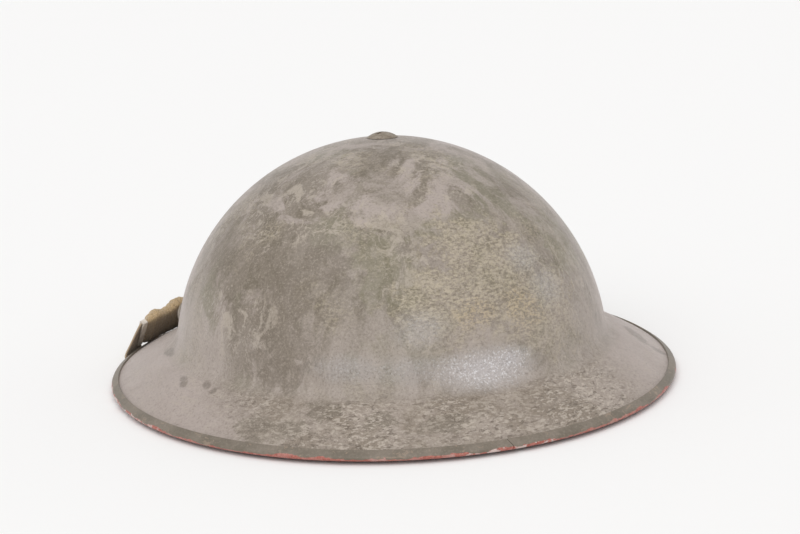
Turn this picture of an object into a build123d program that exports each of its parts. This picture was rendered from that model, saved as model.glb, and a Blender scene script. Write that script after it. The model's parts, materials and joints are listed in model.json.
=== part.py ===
from build123d import *
import math
import os

# Shallow-bowled steel helmet with a wide brim, its liner and its sprung chinstrap.
# Millimetres. +Z is up, the front faces -Y, and the wearer's left is +X.
# The origin is under the middle of the helmet, level with the lowest point of the
# strap, which passes under the rim on its way up over the front of the brim.

# Overall plan of the rim
rim_half_width = 146.0
rim_half_length = 152.5
mean_half = (rim_half_width + rim_half_length) / 2
wide = rim_half_width / mean_half
long = rim_half_length / mean_half

# Shell sheet and the shape of the bowl and brim, given on the mean circle
sheet = 0.9
bowl_radius = 114.5
bowl_rise = 112.3
bowl_base_height = 9.7
fillet_top_height = 28.5
fillet_share = 0.1468
brim_drop = 15.02
brim_bow = 7.0
screw_hole = 5.4
crown_core_radius = 1.3

# Folded strip that covers the edge of the brim
strip_sheet = 0.9
strip_width = 4.8
strip_clearance = 0.05
land_depth = 0.25
land_front_reach = 60.0
butt_gap = 0.35
butt_slant = 24.0

# Chinstrap webbing, its sprung sleeves and where it crosses the rim
webbing_width = 19.0
webbing_thickness = 1.4
webbing_clearance = 0.3
crossing_angle = 34.0
crossing_spread_share = 1.3
sleeve_length = 72.0
sleeve_width = 20.0
sleeve_thickness = 6.4
sleeve_hump = 1.3
sleeve_pitch = 12.0
sleeve_wall = 0.9
sleeve_tilt = 50.0
sleeve_inset_share = 0.2024
sleeve_rise = 17.0
sleeve_brim_gap = 1.05
sleeve_bowl_gap = 1.85
front_height = 38.0
front_webbing_gap = 0.6
crimp_length = 3.0
crimp_wall = 0.8
crimp_clearance = 0.15
crimp_lead = 0.8
spring_wire = 0.6
spring_diameter = 4.2
spring_turns = 20
spring_end_gap = 0.8

# Lugs, their rivets and the wire loops
lug_angle = 16.0
lug_height = 36.0
lug_width = 14.0
lug_sheet = 1.2
lug_gap = 0.8
lug_top_reach = 6.5
lug_eye_drop = 11.0
wire_diameter = 2.6
eye_clearance = 0.1
loop_inner_width = 21.0
loop_inner_height = 10.4
loop_corner = 3.0
loop_rest_angle = 30.0
rivet_diameter = 4.0
rivet_hole_clearance = 0.1
rivet_head_diameter = 9.0
rivet_head_height = 1.1
rivet_tail_diameter = 7.0
rivet_tail_height = 1.0

# Liner band, its covering and its fixings
hoop_gap = 12.0
hoop_sheet = 1.6
hoop_bottom = 24.0
hoop_height = 22.0
cloth = 1.2
head_cover_gap = 1.0
head_cover_clearance = 0.2
head_cover_top_above = 3.0
head_cover_outer_leg = 9.0
small_rivet_count = 8
small_rivet_diameter = 2.4
small_rivet_head_diameter = 5.0
small_rivet_head_height = 0.6
joint_plate_sheet = 1.2
joint_plate_span = 17.0
joint_plate_angle = 112.0
hoop_joint_gap = 0.4

# Crossed steel bands between the liner band and the crown
band_width = 18.0
band_sheet = 0.8
band_top_height = 112.0
band_overlap = 11.0
band_crossing_gap = 0.35
buffer_width = 30.0
buffer_height = 12.6
buffer_clearance = 0.3
buffer_seat = 3.0
buffer_rivet_diameter = 4.0
buffer_rivet_head_diameter = 8.0
buffer_rivet_head_height = 1.0
buffer_rivet_tail_height = 0.6
hollow_wall_gap = 0.15
buffer_recess_diameter = 9.6

# Screw through the crown, and what it holds
screw_diameter = 5.0
screw_head_diameter = 16.0
screw_head_height = 2.8
screw_slot_width = 1.3
screw_slot_depth = 0.9
screw_slot_turn = 35.0
spacer_diameter = 40.0
washer_diameter = 16.0
washer_sheet = 1.2
washer_gap = 0.3
nut_across_flats = 9.0
nut_height = 3.6
thread_end = 1.4
seat_clearance = 0.05

# Crown pad, tongues and the lace that gathers them
pad_thickness = 10.0
pad_arm_width = 34.0
pad_arm_reach = 42.0
pad_clearance = 0.3
pad_pocket_diameter = 19.0
tongue_count = 8
tongue_sheet = 0.9
tongue_tip_radius = 45.0
tongue_tip_height = 84.0
tongue_foot_rise = 1.2
tongue_root_share = 0.93
tongue_tip_share = 0.56
lace_diameter = 3.0
lace_clearance = 0.3
hem_sheet = 0.8
knot_diameter = 6.0
tail_length = 26.0
tail_spread = 24.0

overrun = 20.0


def stretched(solid):
    """A body of revolution on the mean circle, drawn out to the helmet's oval."""
    return scale(solid, by=(wide, long, 1))


def oval(radius, degrees, height=0.0):
    """A point on the oval that the circle of this radius becomes. Degrees from +X."""
    turn = math.radians(degrees)
    return Vector(radius * wide * math.cos(turn), radius * long * math.sin(turn), height)


def oval_degrees(degrees):
    """Where on the mean circle lies what is seen in this direction on the oval."""
    turn = math.radians(degrees)
    return math.degrees(math.atan2(math.sin(turn) / long, math.cos(turn) / wide))


def oval_tangent(degrees):
    """Level direction along the oval, towards growing angles."""
    turn = math.radians(degrees)
    return Vector(-wide * math.sin(turn), long * math.cos(turn), 0).normalized()


def oval_outward(degrees):
    """Level direction square to the oval, pointing out."""
    return oval_tangent(degrees).cross(Vector(0, 0, 1)).normalized()


def bowl_radius_at(height, inset=0.0):
    """Mean radius of the bowl at a height, on a surface inset from the outer one."""
    share = (height - bowl_base_height) / (bowl_rise - inset)
    return (bowl_radius - inset) * math.sqrt(1 - share**2)


def bowl_frame(degrees, height, inset):
    """Plane on the bowl: X along the wall, level, and Z square to the wall, outwards."""
    point = oval(bowl_radius_at(height, inset), degrees, height)
    half_x = (bowl_radius - inset) * wide
    half_y = (bowl_radius - inset) * long
    half_z = bowl_rise - inset
    normal = Vector(
        point.X / half_x**2,
        point.Y / half_y**2,
        (point.Z - bowl_base_height) / half_z**2,
    )
    return Plane(origin=point, x_dir=oval_tangent(degrees), z_dir=normal.normalized())


def level_frame(radius, degrees, height):
    """Plane on an upright oval wall: X along the wall, Z straight out of it."""
    return Plane(
        origin=oval(radius, degrees, height),
        x_dir=oval_tangent(degrees),
        z_dir=oval_outward(degrees),
    )


def drum(diameter, bottom, top):
    """Round bar along Z between two levels."""
    bar = Cylinder(diameter / 2, top - bottom, align=(Align.CENTER, Align.CENTER, Align.MIN))
    return Pos(0, 0, bottom) * bar


def domed_head(diameter, height):
    """Low round head that stands on Z = 0."""
    crown = (diameter**2 / 4 + height**2) / (2 * height)
    ball = Pos(0, 0, height - crown) * Sphere(crown)
    keep = drum(diameter, 0, height * 2)
    return ball & keep


def ring_between(inner, outer, bottom, top):
    """Oval ring with upright walls."""
    section = Pos((inner + outer) / 2, (bottom + top) / 2) * Rectangle(outer - inner, top - bottom)
    return stretched(revolve(Plane.XZ * section, Axis.Z))


# Centre of the rim's round nose, above the strap that passes under it
nose_radius = sheet / 2 + strip_clearance + strip_sheet
nose_height = webbing_thickness + webbing_clearance + nose_radius
nose_centre_radius = mean_half - nose_radius
strip_reach = strip_width - nose_radius

# Slope of the brim, from its root beside the bowl down to the nose
brim_start_radius = bowl_radius + (mean_half - bowl_radius) * fillet_share
brim_start_height = nose_height + brim_drop
brim_slope = math.degrees(math.atan2(brim_drop, nose_centre_radius - brim_start_radius))
brim_start_slope = brim_slope - brim_bow / 2
brim_end_slope = brim_slope + brim_bow / 2


def brim_curves(inset):
    """Fillet and brim, on a surface inset from the outer one, from the bowl outwards."""
    top_radius = bowl_radius_at(fillet_top_height, inset)
    top = Vector(top_radius, fillet_top_height)
    rise = (fillet_top_height - bowl_base_height) / (bowl_rise - inset) ** 2
    run = top_radius / (bowl_radius - inset) ** 2
    wall_way = Vector(rise, -run).normalized()

    start_slope = math.radians(brim_start_slope)
    end_slope = math.radians(brim_end_slope)
    lift = sheet / 2 - inset
    end_normal = Vector(math.sin(end_slope), math.cos(end_slope))
    start_normal = Vector(math.sin(start_slope), math.cos(start_slope))
    end = Vector(nose_centre_radius, nose_height)
    start = Vector(brim_start_radius, brim_start_height)
    end = end + end_normal * lift
    start = start + start_normal * lift

    start_way = Vector(math.cos(start_slope), -math.sin(start_slope))
    end_way = Vector(math.cos(end_slope), -math.sin(end_slope))
    knee = crossing(top, wall_way, start, start_way)
    middle = crossing(start, start_way, end, end_way)
    return Bezier(top, knee, start), Bezier(start, middle, end)


def crossing(point_a, way_a, point_b, way_b):
    """Where two straight lines of the section meet."""
    span = point_b - point_a
    turn = way_a.X * way_b.Y - way_a.Y * way_b.X
    run = (span.X * way_b.Y - span.Y * way_b.X) / turn
    return point_a + way_a * run


def bowl_curve(inset, start_radius):
    """Bowl line from a radius near the crown down to the top of the fillet."""
    half_r = bowl_radius - inset
    half_z = bowl_rise - inset
    start = math.degrees(math.asin((fillet_top_height - bowl_base_height) / half_z))
    end = math.degrees(math.acos(start_radius / half_r))
    return EllipticalCenterArc((0, bowl_base_height), half_r, half_z, start, arc_size=end - start)


def under_surface(inset, start_radius):
    """Filled space below an inset copy of the bowl and brim line."""
    bowl = bowl_curve(inset, start_radius)
    fillet, brim = brim_curves(inset)
    crown = bowl @ 1
    edge = brim @ 1
    close = Polyline(edge, (edge.X, -overrun), (start_radius, -overrun), crown)
    outline = make_face(Wire([bowl, fillet, brim] + close.edges()))
    return revolve(Plane.XZ * outline, Axis.Z)


def make_shell():
    """Pressed sheet: bowl, fillet and brim in one."""
    outer = bowl_curve(0, crown_core_radius)
    inner = bowl_curve(sheet, crown_core_radius)
    outer_fillet, outer_brim = brim_curves(0)
    inner_fillet, inner_brim = brim_curves(sheet)
    edge = Line(outer_brim @ 1, inner_brim @ 1)
    crown = Line(outer @ 1, inner @ 1)
    loop = Wire([outer, outer_fillet, outer_brim, edge, inner_brim, inner_fillet, inner, crown])
    shell = stretched(revolve(Plane.XZ * make_face(loop), Axis.Z))
    shell = shell - drum(screw_hole, bowl_rise - overrun, bowl_rise + overrun)
    for side in (lug_right_angle, lug_left_angle):
        bore = Cylinder(rivet_diameter / 2 + rivet_hole_clearance, overrun)
        shell = shell - bowl_frame(side, lug_height, sheet).location * bore
    return shell


def make_rim_strip():
    """Strip folded round the brim's edge, with a slanted butt joint at the rear."""
    slope = math.radians(brim_end_slope)
    inner = nose_radius - strip_sheet
    centre = Vector(nose_centre_radius, nose_height)
    out = Vector(math.cos(slope), -math.sin(slope))
    up = Vector(math.sin(slope), math.cos(slope))
    back = out * -strip_reach
    outer_top = centre + up * nose_radius
    outer_low = centre - up * nose_radius
    inner_top = centre + up * inner
    inner_low = centre - up * inner
    nose = ThreePointArc(outer_top, centre + out * nose_radius, outer_low)
    bend = ThreePointArc(inner_low, centre + out * inner, inner_top)
    section = Wire(
        [
            Line(outer_top + back, outer_top),
            nose,
            Line(outer_low, outer_low + back),
            Line(outer_low + back, inner_low + back),
            Line(inner_low + back, inner_low),
            bend,
            Line(inner_top, inner_top + back),
            Line(inner_top + back, outer_top + back),
        ]
    )
    strip = stretched(revolve(Plane.XZ * make_face(section), Axis.Z))

    land = nose_height - nose_radius + land_depth
    reach = rim_half_length + land_front_reach + overrun
    cutter = Box(rim_half_width * 2 + overrun, reach, overrun)
    middle = reach / 2 - land_front_reach
    strip = strip - Pos(0, middle, land - overrun / 2) * cutter

    slit = Box(butt_gap, overrun, overrun)
    return strip - Pos(0, rim_half_length, nose_height) * Rot(0, 0, butt_slant) * slit


# The wearer's left is at +X. Both lugs are a little in front of the helmet's sides.
lug_left_angle = -lug_angle
lug_right_angle = lug_angle - 180


def make_lug():
    """Doubled strip riveted to the wall, folded round an eye at its lower end."""
    eye_inner = wire_diameter / 2 + eye_clearance
    eye_outer = eye_inner + lug_sheet
    eye_inset = lug_gap + eye_outer
    drop = -lug_eye_drop
    back_plate = Box(lug_width, lug_top_reach - drop, lug_sheet, align=(Align.CENTER, Align.MIN, Align.MAX))
    plates = Pos(0, drop, -lug_gap) * back_plate
    front_bottom = drop + eye_outer * front_fold_share
    front_plate = Box(
        lug_width, lug_top_reach - front_bottom, lug_sheet, align=(Align.CENTER, Align.MIN, Align.MAX)
    )
    plates = plates + Pos(0, front_bottom, -lug_gap - lug_sheet) * front_plate
    turn = Pos(0, drop, -eye_inset) * Rot(0, 90, 0)
    eye = turn * Cylinder(eye_outer, lug_width)
    lug = plates + eye
    lug = lug - turn * Cylinder(eye_inner, lug_width + overrun)
    bore = Cylinder(rivet_diameter / 2 + rivet_hole_clearance, overrun)
    return lug - bore


front_fold_share = 0.55


def make_lug_rivet():
    """Rivet of a lug, its origin on the bowl's inner face: head outside, tail on the lug."""
    grip = lug_gap + lug_sheet * 2 + seat_clearance
    seat = sheet + seat_clearance
    shank = drum(rivet_diameter, -grip - rivet_tail_height / 2, seat + rivet_head_height / 2)
    head = Pos(0, 0, seat) * domed_head(rivet_head_diameter, rivet_head_height)
    tail = Rot(180, 0, 0) * domed_head(rivet_tail_diameter, rivet_tail_height)
    return shank + head + Pos(0, 0, -grip) * tail


def eye_centre(degrees):
    """Middle of a lug's eye, in the helmet's frame."""
    eye_inset = lug_gap + wire_diameter / 2 + eye_clearance + lug_sheet
    return bowl_frame(degrees, lug_height, sheet).from_local_coords(Vector(0, -lug_eye_drop, -eye_inset))


def loop_frame(degrees):
    """Plane of a wire loop at rest: X along its bars, Y from the outer bar to the eye."""
    tip = math.radians(loop_rest_angle)
    hang = oval_outward(degrees) * math.sin(tip) - Vector(0, 0, 1) * math.cos(tip)
    along = oval_tangent(degrees)
    return Plane(origin=eye_centre(degrees), x_dir=along, z_dir=along.cross(-hang))


loop_bar_spacing = loop_inner_height + wire_diameter


def make_loop():
    """Closed square loop of round wire, one bar on the local X axis."""
    width = loop_inner_width + wire_diameter
    outline = Pos(0, -loop_bar_spacing / 2) * RectangleRounded(width, loop_bar_spacing, loop_corner)
    path = outline.face().outer_wire()
    start = path @ 0
    ring = Plane(origin=start, z_dir=path % 0) * Circle(wire_diameter / 2)
    return sweep(ring, path=path)


def ribbon(rows, thickness):
    """Flat strap through rows of centre and half-width vector, ruled from row to row."""
    sections = []
    last = len(rows) - 1
    for place, (centre, half) in enumerate(rows):
        before = rows[max(place - 1, 0)][0]
        after = rows[min(place + 1, last)][0]
        face_way = half.cross(after - before).normalized() * (thickness / 2)
        corners = (
            centre + half + face_way,
            centre - half + face_way,
            centre - half - face_way,
            centre + half - face_way,
        )
        sections.append(Face(Wire(Polyline(*corners, close=True).edges())))
    return loft(sections, ruled=True)


def rim_wrap_point(degrees, dip):
    """Centre of the strap where it lies round the rim's nose. Dip 0 is level, outwards."""
    wrap = nose_radius + webbing_clearance + webbing_thickness / 2
    turn = math.radians(dip)
    edge = oval(nose_centre_radius, degrees, nose_height)
    return edge + oval_outward(degrees) * (wrap * math.cos(turn)) + Vector(0, 0, wrap * math.sin(turn))


# Section of the sprung sleeve at a hump: a flat bar with round corners
sleeve_round_share = 0.42
hump_thickness = sleeve_thickness + sleeve_hump
corner_round = hump_thickness * sleeve_round_share
corner_across = (sleeve_width + sleeve_hump) / 2 - corner_round
corner_depth = hump_thickness / 2 - corner_round
lean = math.radians(sleeve_tilt)
sleeve_slope = math.asin(sleeve_rise / sleeve_length)
sleeve_station_count = 12


def sleeve_ways(degrees):
    """Along, across and out of a sleeve whose level way is square to this direction."""
    turn = math.radians(degrees)
    outward = Vector(math.cos(turn), math.sin(turn), 0)
    level = outward.cross(Vector(0, 0, 1)) * math.cos(sleeve_slope)
    along = level + Vector(0, 0, math.sin(sleeve_slope))
    raised = along.cross(outward)
    across = raised * math.sin(lean) - outward * math.cos(lean)
    return along, across, across.cross(along)


def sleeve_corners(start, degrees, side):
    """Centres of one rounded inner corner of the sleeve, from its start to its end."""
    along, across, face = sleeve_ways(degrees)
    corner = start + across * (corner_across * side) - face * corner_depth
    step = sleeve_length / sleeve_station_count
    return [corner + along * (step * place) for place in range(sleeve_station_count + 1)]


def on_mean_circle(point):
    """Radius of the circle whose oval passes through the point."""
    return math.hypot(point.X / wide, point.Y / long)


def room_to_bowl(start, degrees):
    """Least room between the sleeve's upper corner and the bowl."""
    points = sleeve_corners(start, degrees, 1)
    return min(on_mean_circle(point) - bowl_radius_at(point.Z) for point in points) - corner_round


def room_to_brim(start, degrees):
    """Least room between the sleeve's lower corner and the brim."""
    points = sleeve_corners(start, degrees, -1)
    fall = math.tan(math.radians(brim_slope))
    tops = [nose_height + (nose_centre_radius - on_mean_circle(point)) * fall for point in points]
    upright = min(point.Z - top for point, top in zip(points, tops))
    return upright * math.cos(math.radians(brim_slope)) - corner_round


def sleeve_direction(start):
    """Outward direction of the sleeve that just clears the bowl."""
    far = math.degrees(math.atan2(start.Y, start.X))
    near = far - 90
    for _ in range(40):
        middle = (far + near) / 2
        if room_to_bowl(start, middle) > sleeve_bowl_gap:
            far = middle
        else:
            near = middle
    return far


# Straight run of the left sprung sleeve over the front of the brim. It just clears the
# bowl beside its upper corner, and then the brim below its lower one.
sleeve_inset = (mean_half - brim_start_radius) * sleeve_inset_share
sleeve_foot = oval(mean_half - sleeve_inset, -crossing_angle, brim_start_height)
sleeve_outward = sleeve_direction(sleeve_foot)
brim_room = room_to_brim(sleeve_foot, sleeve_outward) - sleeve_brim_gap
sleeve_start = sleeve_foot - Vector(0, 0, brim_room / math.cos(math.radians(brim_slope)))
sleeve_way, sleeve_across, sleeve_face = sleeve_ways(sleeve_outward)
sleeve_end = sleeve_start + sleeve_way * sleeve_length
sleeve_frame = Plane(origin=sleeve_start, x_dir=sleeve_across, z_dir=sleeve_way)


def make_side_webbing():
    """Plain end of the strap: round the loop's bar, under and over the rim, to the sleeve."""
    loop_plane = loop_frame(lug_left_angle)
    bar = loop_plane.from_local_coords(Vector(0, -loop_bar_spacing, 0))
    along = oval_tangent(lug_left_angle)
    ring_inner = wire_diameter / 2 + webbing_clearance
    ring_outer = ring_inner + webbing_thickness
    turn = Plane(origin=bar, z_dir=along).location
    ring = turn * Cylinder(ring_outer, webbing_width) - turn * Cylinder(ring_inner, webbing_width + overrun)

    crease = oval_tangent(-crossing_angle) * (webbing_width / 2 * crossing_spread_share)
    bar_half = along * (webbing_width / 2)
    leave = bar - Vector(0, 0, ring_inner + webbing_thickness / 2)
    under = rim_wrap_point(-crossing_angle, -90)
    rows = [(leave, bar_half)]
    for share in under_brim_shares:
        rows.append((leave + (under - leave) * share, bar_half + (crease - bar_half) * share))
    for dip in rim_wrap_dips:
        rows.append((rim_wrap_point(-crossing_angle, dip), crease))
    over = rim_wrap_point(-crossing_angle, rim_wrap_dips[-1])
    finish = sleeve_start - sleeve_way * (crimp_length * crimp_grip_share)
    across = sleeve_across * (webbing_width / 2)
    entry = sleeve_start - sleeve_way * (crimp_length + crimp_lead)
    for share in over_brim_shares:
        rows.append((over + (entry - over) * share, crease + (across - crease) * share))
    rows.append((entry, across))
    rows.append((finish, across))
    return ring + ribbon(rows, webbing_thickness)


under_brim_shares = (0.3, 0.6, 0.85)
rim_wrap_dips = (-90, -60, -30, 0, 30, 58)
over_brim_shares = (0.35, 0.7)
crimp_grip_share = 0.25


def make_crimp():
    """Flat metal ferrule round the end of the webbing, along local +Z."""
    inner_x = webbing_width + crimp_clearance * 2
    inner_y = webbing_thickness + crimp_clearance * 2
    outer = RectangleRounded(inner_x + crimp_wall * 2, inner_y + crimp_wall * 2, crimp_wall)
    return extrude(outer - Rectangle(inner_x, inner_y), crimp_length)


def make_sleeve():
    """Gathered cloth sleeve over the springs, hollow, along local +Z."""
    stations = round(sleeve_length / sleeve_pitch) * 2
    sections = []
    for place in range(stations + 1):
        swell = sleeve_hump if place % 2 else 0
        thick = sleeve_thickness + swell
        broad = sleeve_width + swell
        outline = RectangleRounded(broad, thick, thick * sleeve_round_share)
        sections.append(Pos(0, 0, sleeve_length * place / stations) * outline)
    body = loft(sections, ruled=True)
    bore_x = sleeve_width - sleeve_wall * 2
    bore_y = sleeve_thickness - sleeve_wall * 2
    bore = extrude(RectangleRounded(bore_x, bore_y, bore_y * sleeve_round_share), sleeve_length + overrun)
    return body - Pos(0, 0, -overrun / 2) * bore


def biarc(start, start_way, end, end_way):
    """Two arcs that join two points with the given directions."""
    span = end - start
    ways = start_way + end_way
    square = 2 * (1 - start_way.dot(end_way))
    line = span.dot(ways)
    reach = (-line + math.sqrt(line**2 + square * span.dot(span))) / square
    knee_a = start + start_way * reach
    knee_b = end - end_way * reach
    meet = (knee_a + knee_b) * 0.5
    return [TangentArc(start, meet, tangent=start_way), TangentArc(meet, end, tangent=(knee_b - knee_a))]


def make_spring():
    """Open coil of round wire along local +Z, one tube of quarter-turn biarcs."""
    coil = (spring_diameter - spring_wire) / 2
    length = sleeve_length - spring_end_gap * 2 - spring_wire
    pitch = length / spring_turns
    slope = pitch / math.tau

    def on_coil(quarter):
        turn = quarter * math.pi / 2
        place = Vector(coil * math.cos(turn), coil * math.sin(turn), slope * turn)
        way = Vector(-coil * math.sin(turn), coil * math.cos(turn), slope).normalized()
        return place, way

    edges = []
    for quarter in range(spring_turns * 4):
        start, start_way = on_coil(quarter)
        end, end_way = on_coil(quarter + 1)
        edges.extend(biarc(start, start_way, end, end_way))
    path = Wire(edges)
    first, first_way = on_coil(0)
    ring = Plane(origin=first, z_dir=first_way) * Circle(spring_wire / 2)
    print("spring: least gap between turns", round(pitch * math.cos(math.atan2(slope, coil)) - spring_wire, 2))
    return Pos(0, 0, spring_end_gap + spring_wire / 2) * sweep(ring, path=path)


def make_centre_webbing():
    """Plain middle of the strap, bent round the front of the bowl."""
    start = sleeve_end + sleeve_way * (crimp_length * crimp_grip_share)
    entry = sleeve_end + sleeve_way * crimp_length
    across = sleeve_across * (webbing_width / 2)
    rows = [(start, across), (entry, across)]
    inset = -(front_webbing_gap + webbing_thickness / 2)
    for share in front_row_shares:
        frame = bowl_frame(-90 + front_turn * share, front_height, inset)
        rows.append((frame.origin, frame.y_dir * (webbing_width / 2)))
    half = rows + [(Vector(-c.X, c.Y, c.Z), Vector(-w.X, w.Y, w.Z)) for c, w in reversed(rows[:-1])]
    return ribbon(half, webbing_thickness)


front_turn = math.degrees(math.atan2(sleeve_end.X / wide, -sleeve_end.Y / long))
front_row_shares = (0.42, 0.27, 0.13, 0)


# Liner band, an oval at a steady gap inside the wall of the bowl
hoop_middle = hoop_bottom + hoop_height / 2
hoop_top = hoop_bottom + hoop_height
hoop_outer = bowl_radius_at(hoop_middle, sheet) - hoop_gap
hoop_inner = hoop_outer - hoop_sheet
cover_inner = hoop_inner - head_cover_gap - cloth
cover_outer = hoop_outer + head_cover_clearance + cloth
cover_bottom = hoop_bottom - head_cover_clearance - cloth
cover_top = hoop_top + head_cover_top_above
cover_leg_top = hoop_bottom + head_cover_outer_leg
band_bottom = hoop_top - band_overlap
band_inner = hoop_outer + seat_clearance
band_outer = band_inner + band_sheet
small_rivet_height = (cover_bottom + cloth + cover_leg_top) / 2
small_rivet_angles = [180 * (2 * number + 1) / small_rivet_count for number in range(small_rivet_count)]


def wall_stretch(degrees):
    """How many times thicker the oval makes an upright wall, measured square to it."""
    turn = math.radians(degrees)
    return 1 / math.hypot(math.cos(turn) / wide, math.sin(turn) / long)


def wall_bores(solid, diameter, height, angles):
    """Level holes through an upright wall, square to it."""
    for degrees in angles:
        bore = Cylinder(diameter / 2, overrun)
        solid = solid - level_frame(hoop_outer, degrees, height).location * bore
    return solid


def make_hoop():
    """Stiff fibre band with its ends butted behind the joint plate."""
    hoop = ring_between(hoop_inner, hoop_outer, hoop_bottom, hoop_top)
    slit = Box(hoop_joint_gap, overrun, hoop_height + overrun)
    hoop = hoop - level_frame(hoop_outer, joint_plate_angle, hoop_middle).location * Rot(90, 0, 0) * slit
    hole = rivet_hole_clearance * 2
    hoop = wall_bores(hoop, buffer_rivet_diameter + hole, buffer_middle, buffer_angles)
    hoop = wall_bores(hoop, small_rivet_diameter + hole, small_rivet_height, small_rivet_angles)
    return wall_bores(hoop, small_rivet_diameter + hole, buffer_middle, joint_rivet_angles)


# Buffers stand outside the ends of the crossed bands
buffer_angles = (0, 90, 180, -90)
buffer_bottom = band_bottom - seat_clearance
buffer_middle = band_bottom + band_overlap / 2
joint_rivet_angles = (joint_plate_angle - joint_plate_span / 4, joint_plate_angle + joint_plate_span / 4)


def make_joint_plate():
    """Fibre plate lapped over the butted ends of the liner band."""
    inner = hoop_outer + seat_clearance
    plate = ring_between(inner, inner + joint_plate_sheet, band_bottom, hoop_top)
    reach = hoop_outer * math.radians(joint_plate_span) / 2
    keep = Box(reach * 2, overrun * 2, overrun * 2)
    frame = level_frame(hoop_outer, joint_plate_angle, hoop_middle)
    plate = plate & (frame.location * keep)
    hole = small_rivet_diameter + rivet_hole_clearance * 2
    return wall_bores(plate, hole, buffer_middle, joint_rivet_angles)


def through_rivet(diameter, head_diameter, head_height, grip_in, grip_out):
    """Rivet along local Z with a low head on each side, its origin on the wall's face."""
    shank = drum(diameter, -grip_in - head_height / 2, grip_out + head_height / 2)
    outer = Pos(0, 0, grip_out) * domed_head(head_diameter, head_height)
    inner = Pos(0, 0, -grip_in) * Rot(180, 0, 0) * domed_head(head_diameter, head_height)
    return shank + outer + inner


def small_rivets(grip_in, grip_out, height, angles):
    """Small rivets through the liner band, as long as its wall is thick at each place."""
    rivets = []
    for degrees in angles:
        share = wall_stretch(degrees)
        rivet = through_rivet(
            small_rivet_diameter,
            small_rivet_head_diameter,
            small_rivet_head_height,
            grip_in * share,
            grip_out * share,
        )
        rivets.append(level_frame(hoop_outer, degrees, height).location * rivet)
    return rivets


def make_joint_rivets():
    """Two small rivets through the joint plate and the liner band."""
    grip_in = hoop_sheet + seat_clearance
    grip_out = joint_plate_sheet + seat_clearance * 2
    return small_rivets(grip_in, grip_out, buffer_middle, joint_rivet_angles)


def make_cover_rivets():
    """Eight small rivets that hold the cloth covering to the liner band."""
    grip_in = hoop_sheet + head_cover_gap + cloth + seat_clearance * 2
    grip_out = head_cover_clearance + cloth + seat_clearance * 2
    return small_rivets(grip_in, grip_out, small_rivet_height, small_rivet_angles)


def make_head_cover():
    """Cloth folded under the liner band: inner face against the head, short outer leg."""
    outline = Polyline(
        (cover_inner, cover_top),
        (cover_inner, cover_bottom),
        (cover_outer, cover_bottom),
        (cover_outer, cover_leg_top),
        (cover_outer - cloth, cover_leg_top),
        (cover_outer - cloth, cover_bottom + cloth),
        (cover_inner + cloth, cover_bottom + cloth),
        (cover_inner + cloth, cover_top),
        close=True,
    )
    cover = stretched(revolve(Plane.XZ * make_face(outline), Axis.Z))
    hole = small_rivet_diameter + rivet_hole_clearance * 2
    return wall_bores(cover, hole, small_rivet_height, small_rivet_angles)


def make_cross_band(plane, stretch, top_height):
    """Steel tape from one side of the liner band over the crown to the other."""
    outer_r = band_outer * stretch
    inner_r = outer_r - band_sheet * stretch
    outer_z = top_height - hoop_top
    inner_z = outer_z - band_sheet
    outer = Ellipse(outer_r, outer_z)
    inner = Ellipse(inner_r, inner_z)
    upper = Pos(0, outer_z) * Rectangle(outer_r * 2 + overrun, outer_z * 2)
    arch = Pos(0, hoop_top) * ((outer - inner) & upper)
    legs = Rectangle(band_sheet * stretch, band_overlap, align=(Align.MIN, Align.MIN))
    right_leg = Pos(inner_r, band_bottom) * legs
    left_leg = Pos(-outer_r, band_bottom) * legs
    tape = extrude(plane * (arch + right_leg + left_leg), band_width / 2, both=True)
    tape = tape - drum(screw_hole, hoop_top, top_height + overrun)
    bore = Cylinder(buffer_rivet_diameter / 2 + rivet_hole_clearance, outer_r * 2 + overrun)
    return tape - plane.location * Pos(0, buffer_middle, 0) * Rot(0, 90, 0) * bore


def make_buffer(degrees):
    """Rubber block between a crossed band's foot and the wall of the bowl."""
    frame = level_frame(band_outer + seat_clearance, degrees, buffer_bottom)
    block = Box(buffer_width, buffer_height, overrun, align=(Align.CENTER, Align.MIN, Align.MIN))
    block = frame.location * block
    block = block & stretched(under_surface(sheet + buffer_clearance, crown_core_radius))
    seat = level_frame(band_outer, degrees, buffer_middle)
    bore = Cylinder(buffer_rivet_diameter / 2 + rivet_hole_clearance, overrun)
    recess = drum(buffer_recess_diameter, buffer_seat, buffer_seat + overrun)
    return block - seat.location * bore - seat.location * recess


def make_buffer_rivets():
    """Four rivets, each through the liner band, a crossed band and a buffer's seat."""
    grip_out = buffer_seat + seat_clearance * 2
    rivets = []
    for degrees in buffer_angles:
        grip_in = (band_sheet + seat_clearance + hoop_sheet) * wall_stretch(degrees) + hollow_wall_gap
        shank = drum(buffer_rivet_diameter, -grip_in, grip_out + buffer_rivet_head_height / 2)
        outer = Pos(0, 0, grip_out) * domed_head(buffer_rivet_head_diameter, buffer_rivet_head_height)
        inner = drum(buffer_rivet_head_diameter, -grip_in - buffer_rivet_tail_height, -grip_in)
        place = level_frame(band_outer, degrees, buffer_middle)
        rivets.append(place.location * (shank + outer + inner))
    return rivets


# Crown stack, from the outside of the bowl down to the end of the screw
crown_outside = bowl_base_height + bowl_rise
upper_band_top = band_top_height
lower_band_top = upper_band_top - band_sheet - band_crossing_gap
washer_top = lower_band_top - band_sheet - washer_gap
nut_top = washer_top - washer_sheet - seat_clearance
screw_end = nut_top - nut_height - thread_end


def make_crown_screw():
    """Low domed head outside, shank down through the stack."""
    head = Pos(0, 0, crown_outside) * domed_head(screw_head_diameter, screw_head_height)
    shank = drum(screw_diameter, screw_end, crown_outside + screw_head_height / 2)
    slot = Box(screw_head_diameter * 2, screw_slot_width, screw_slot_depth * 2)
    top = crown_outside + screw_head_height
    return head + shank - Pos(0, 0, top) * Rot(0, 0, screw_slot_turn) * slot


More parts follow.
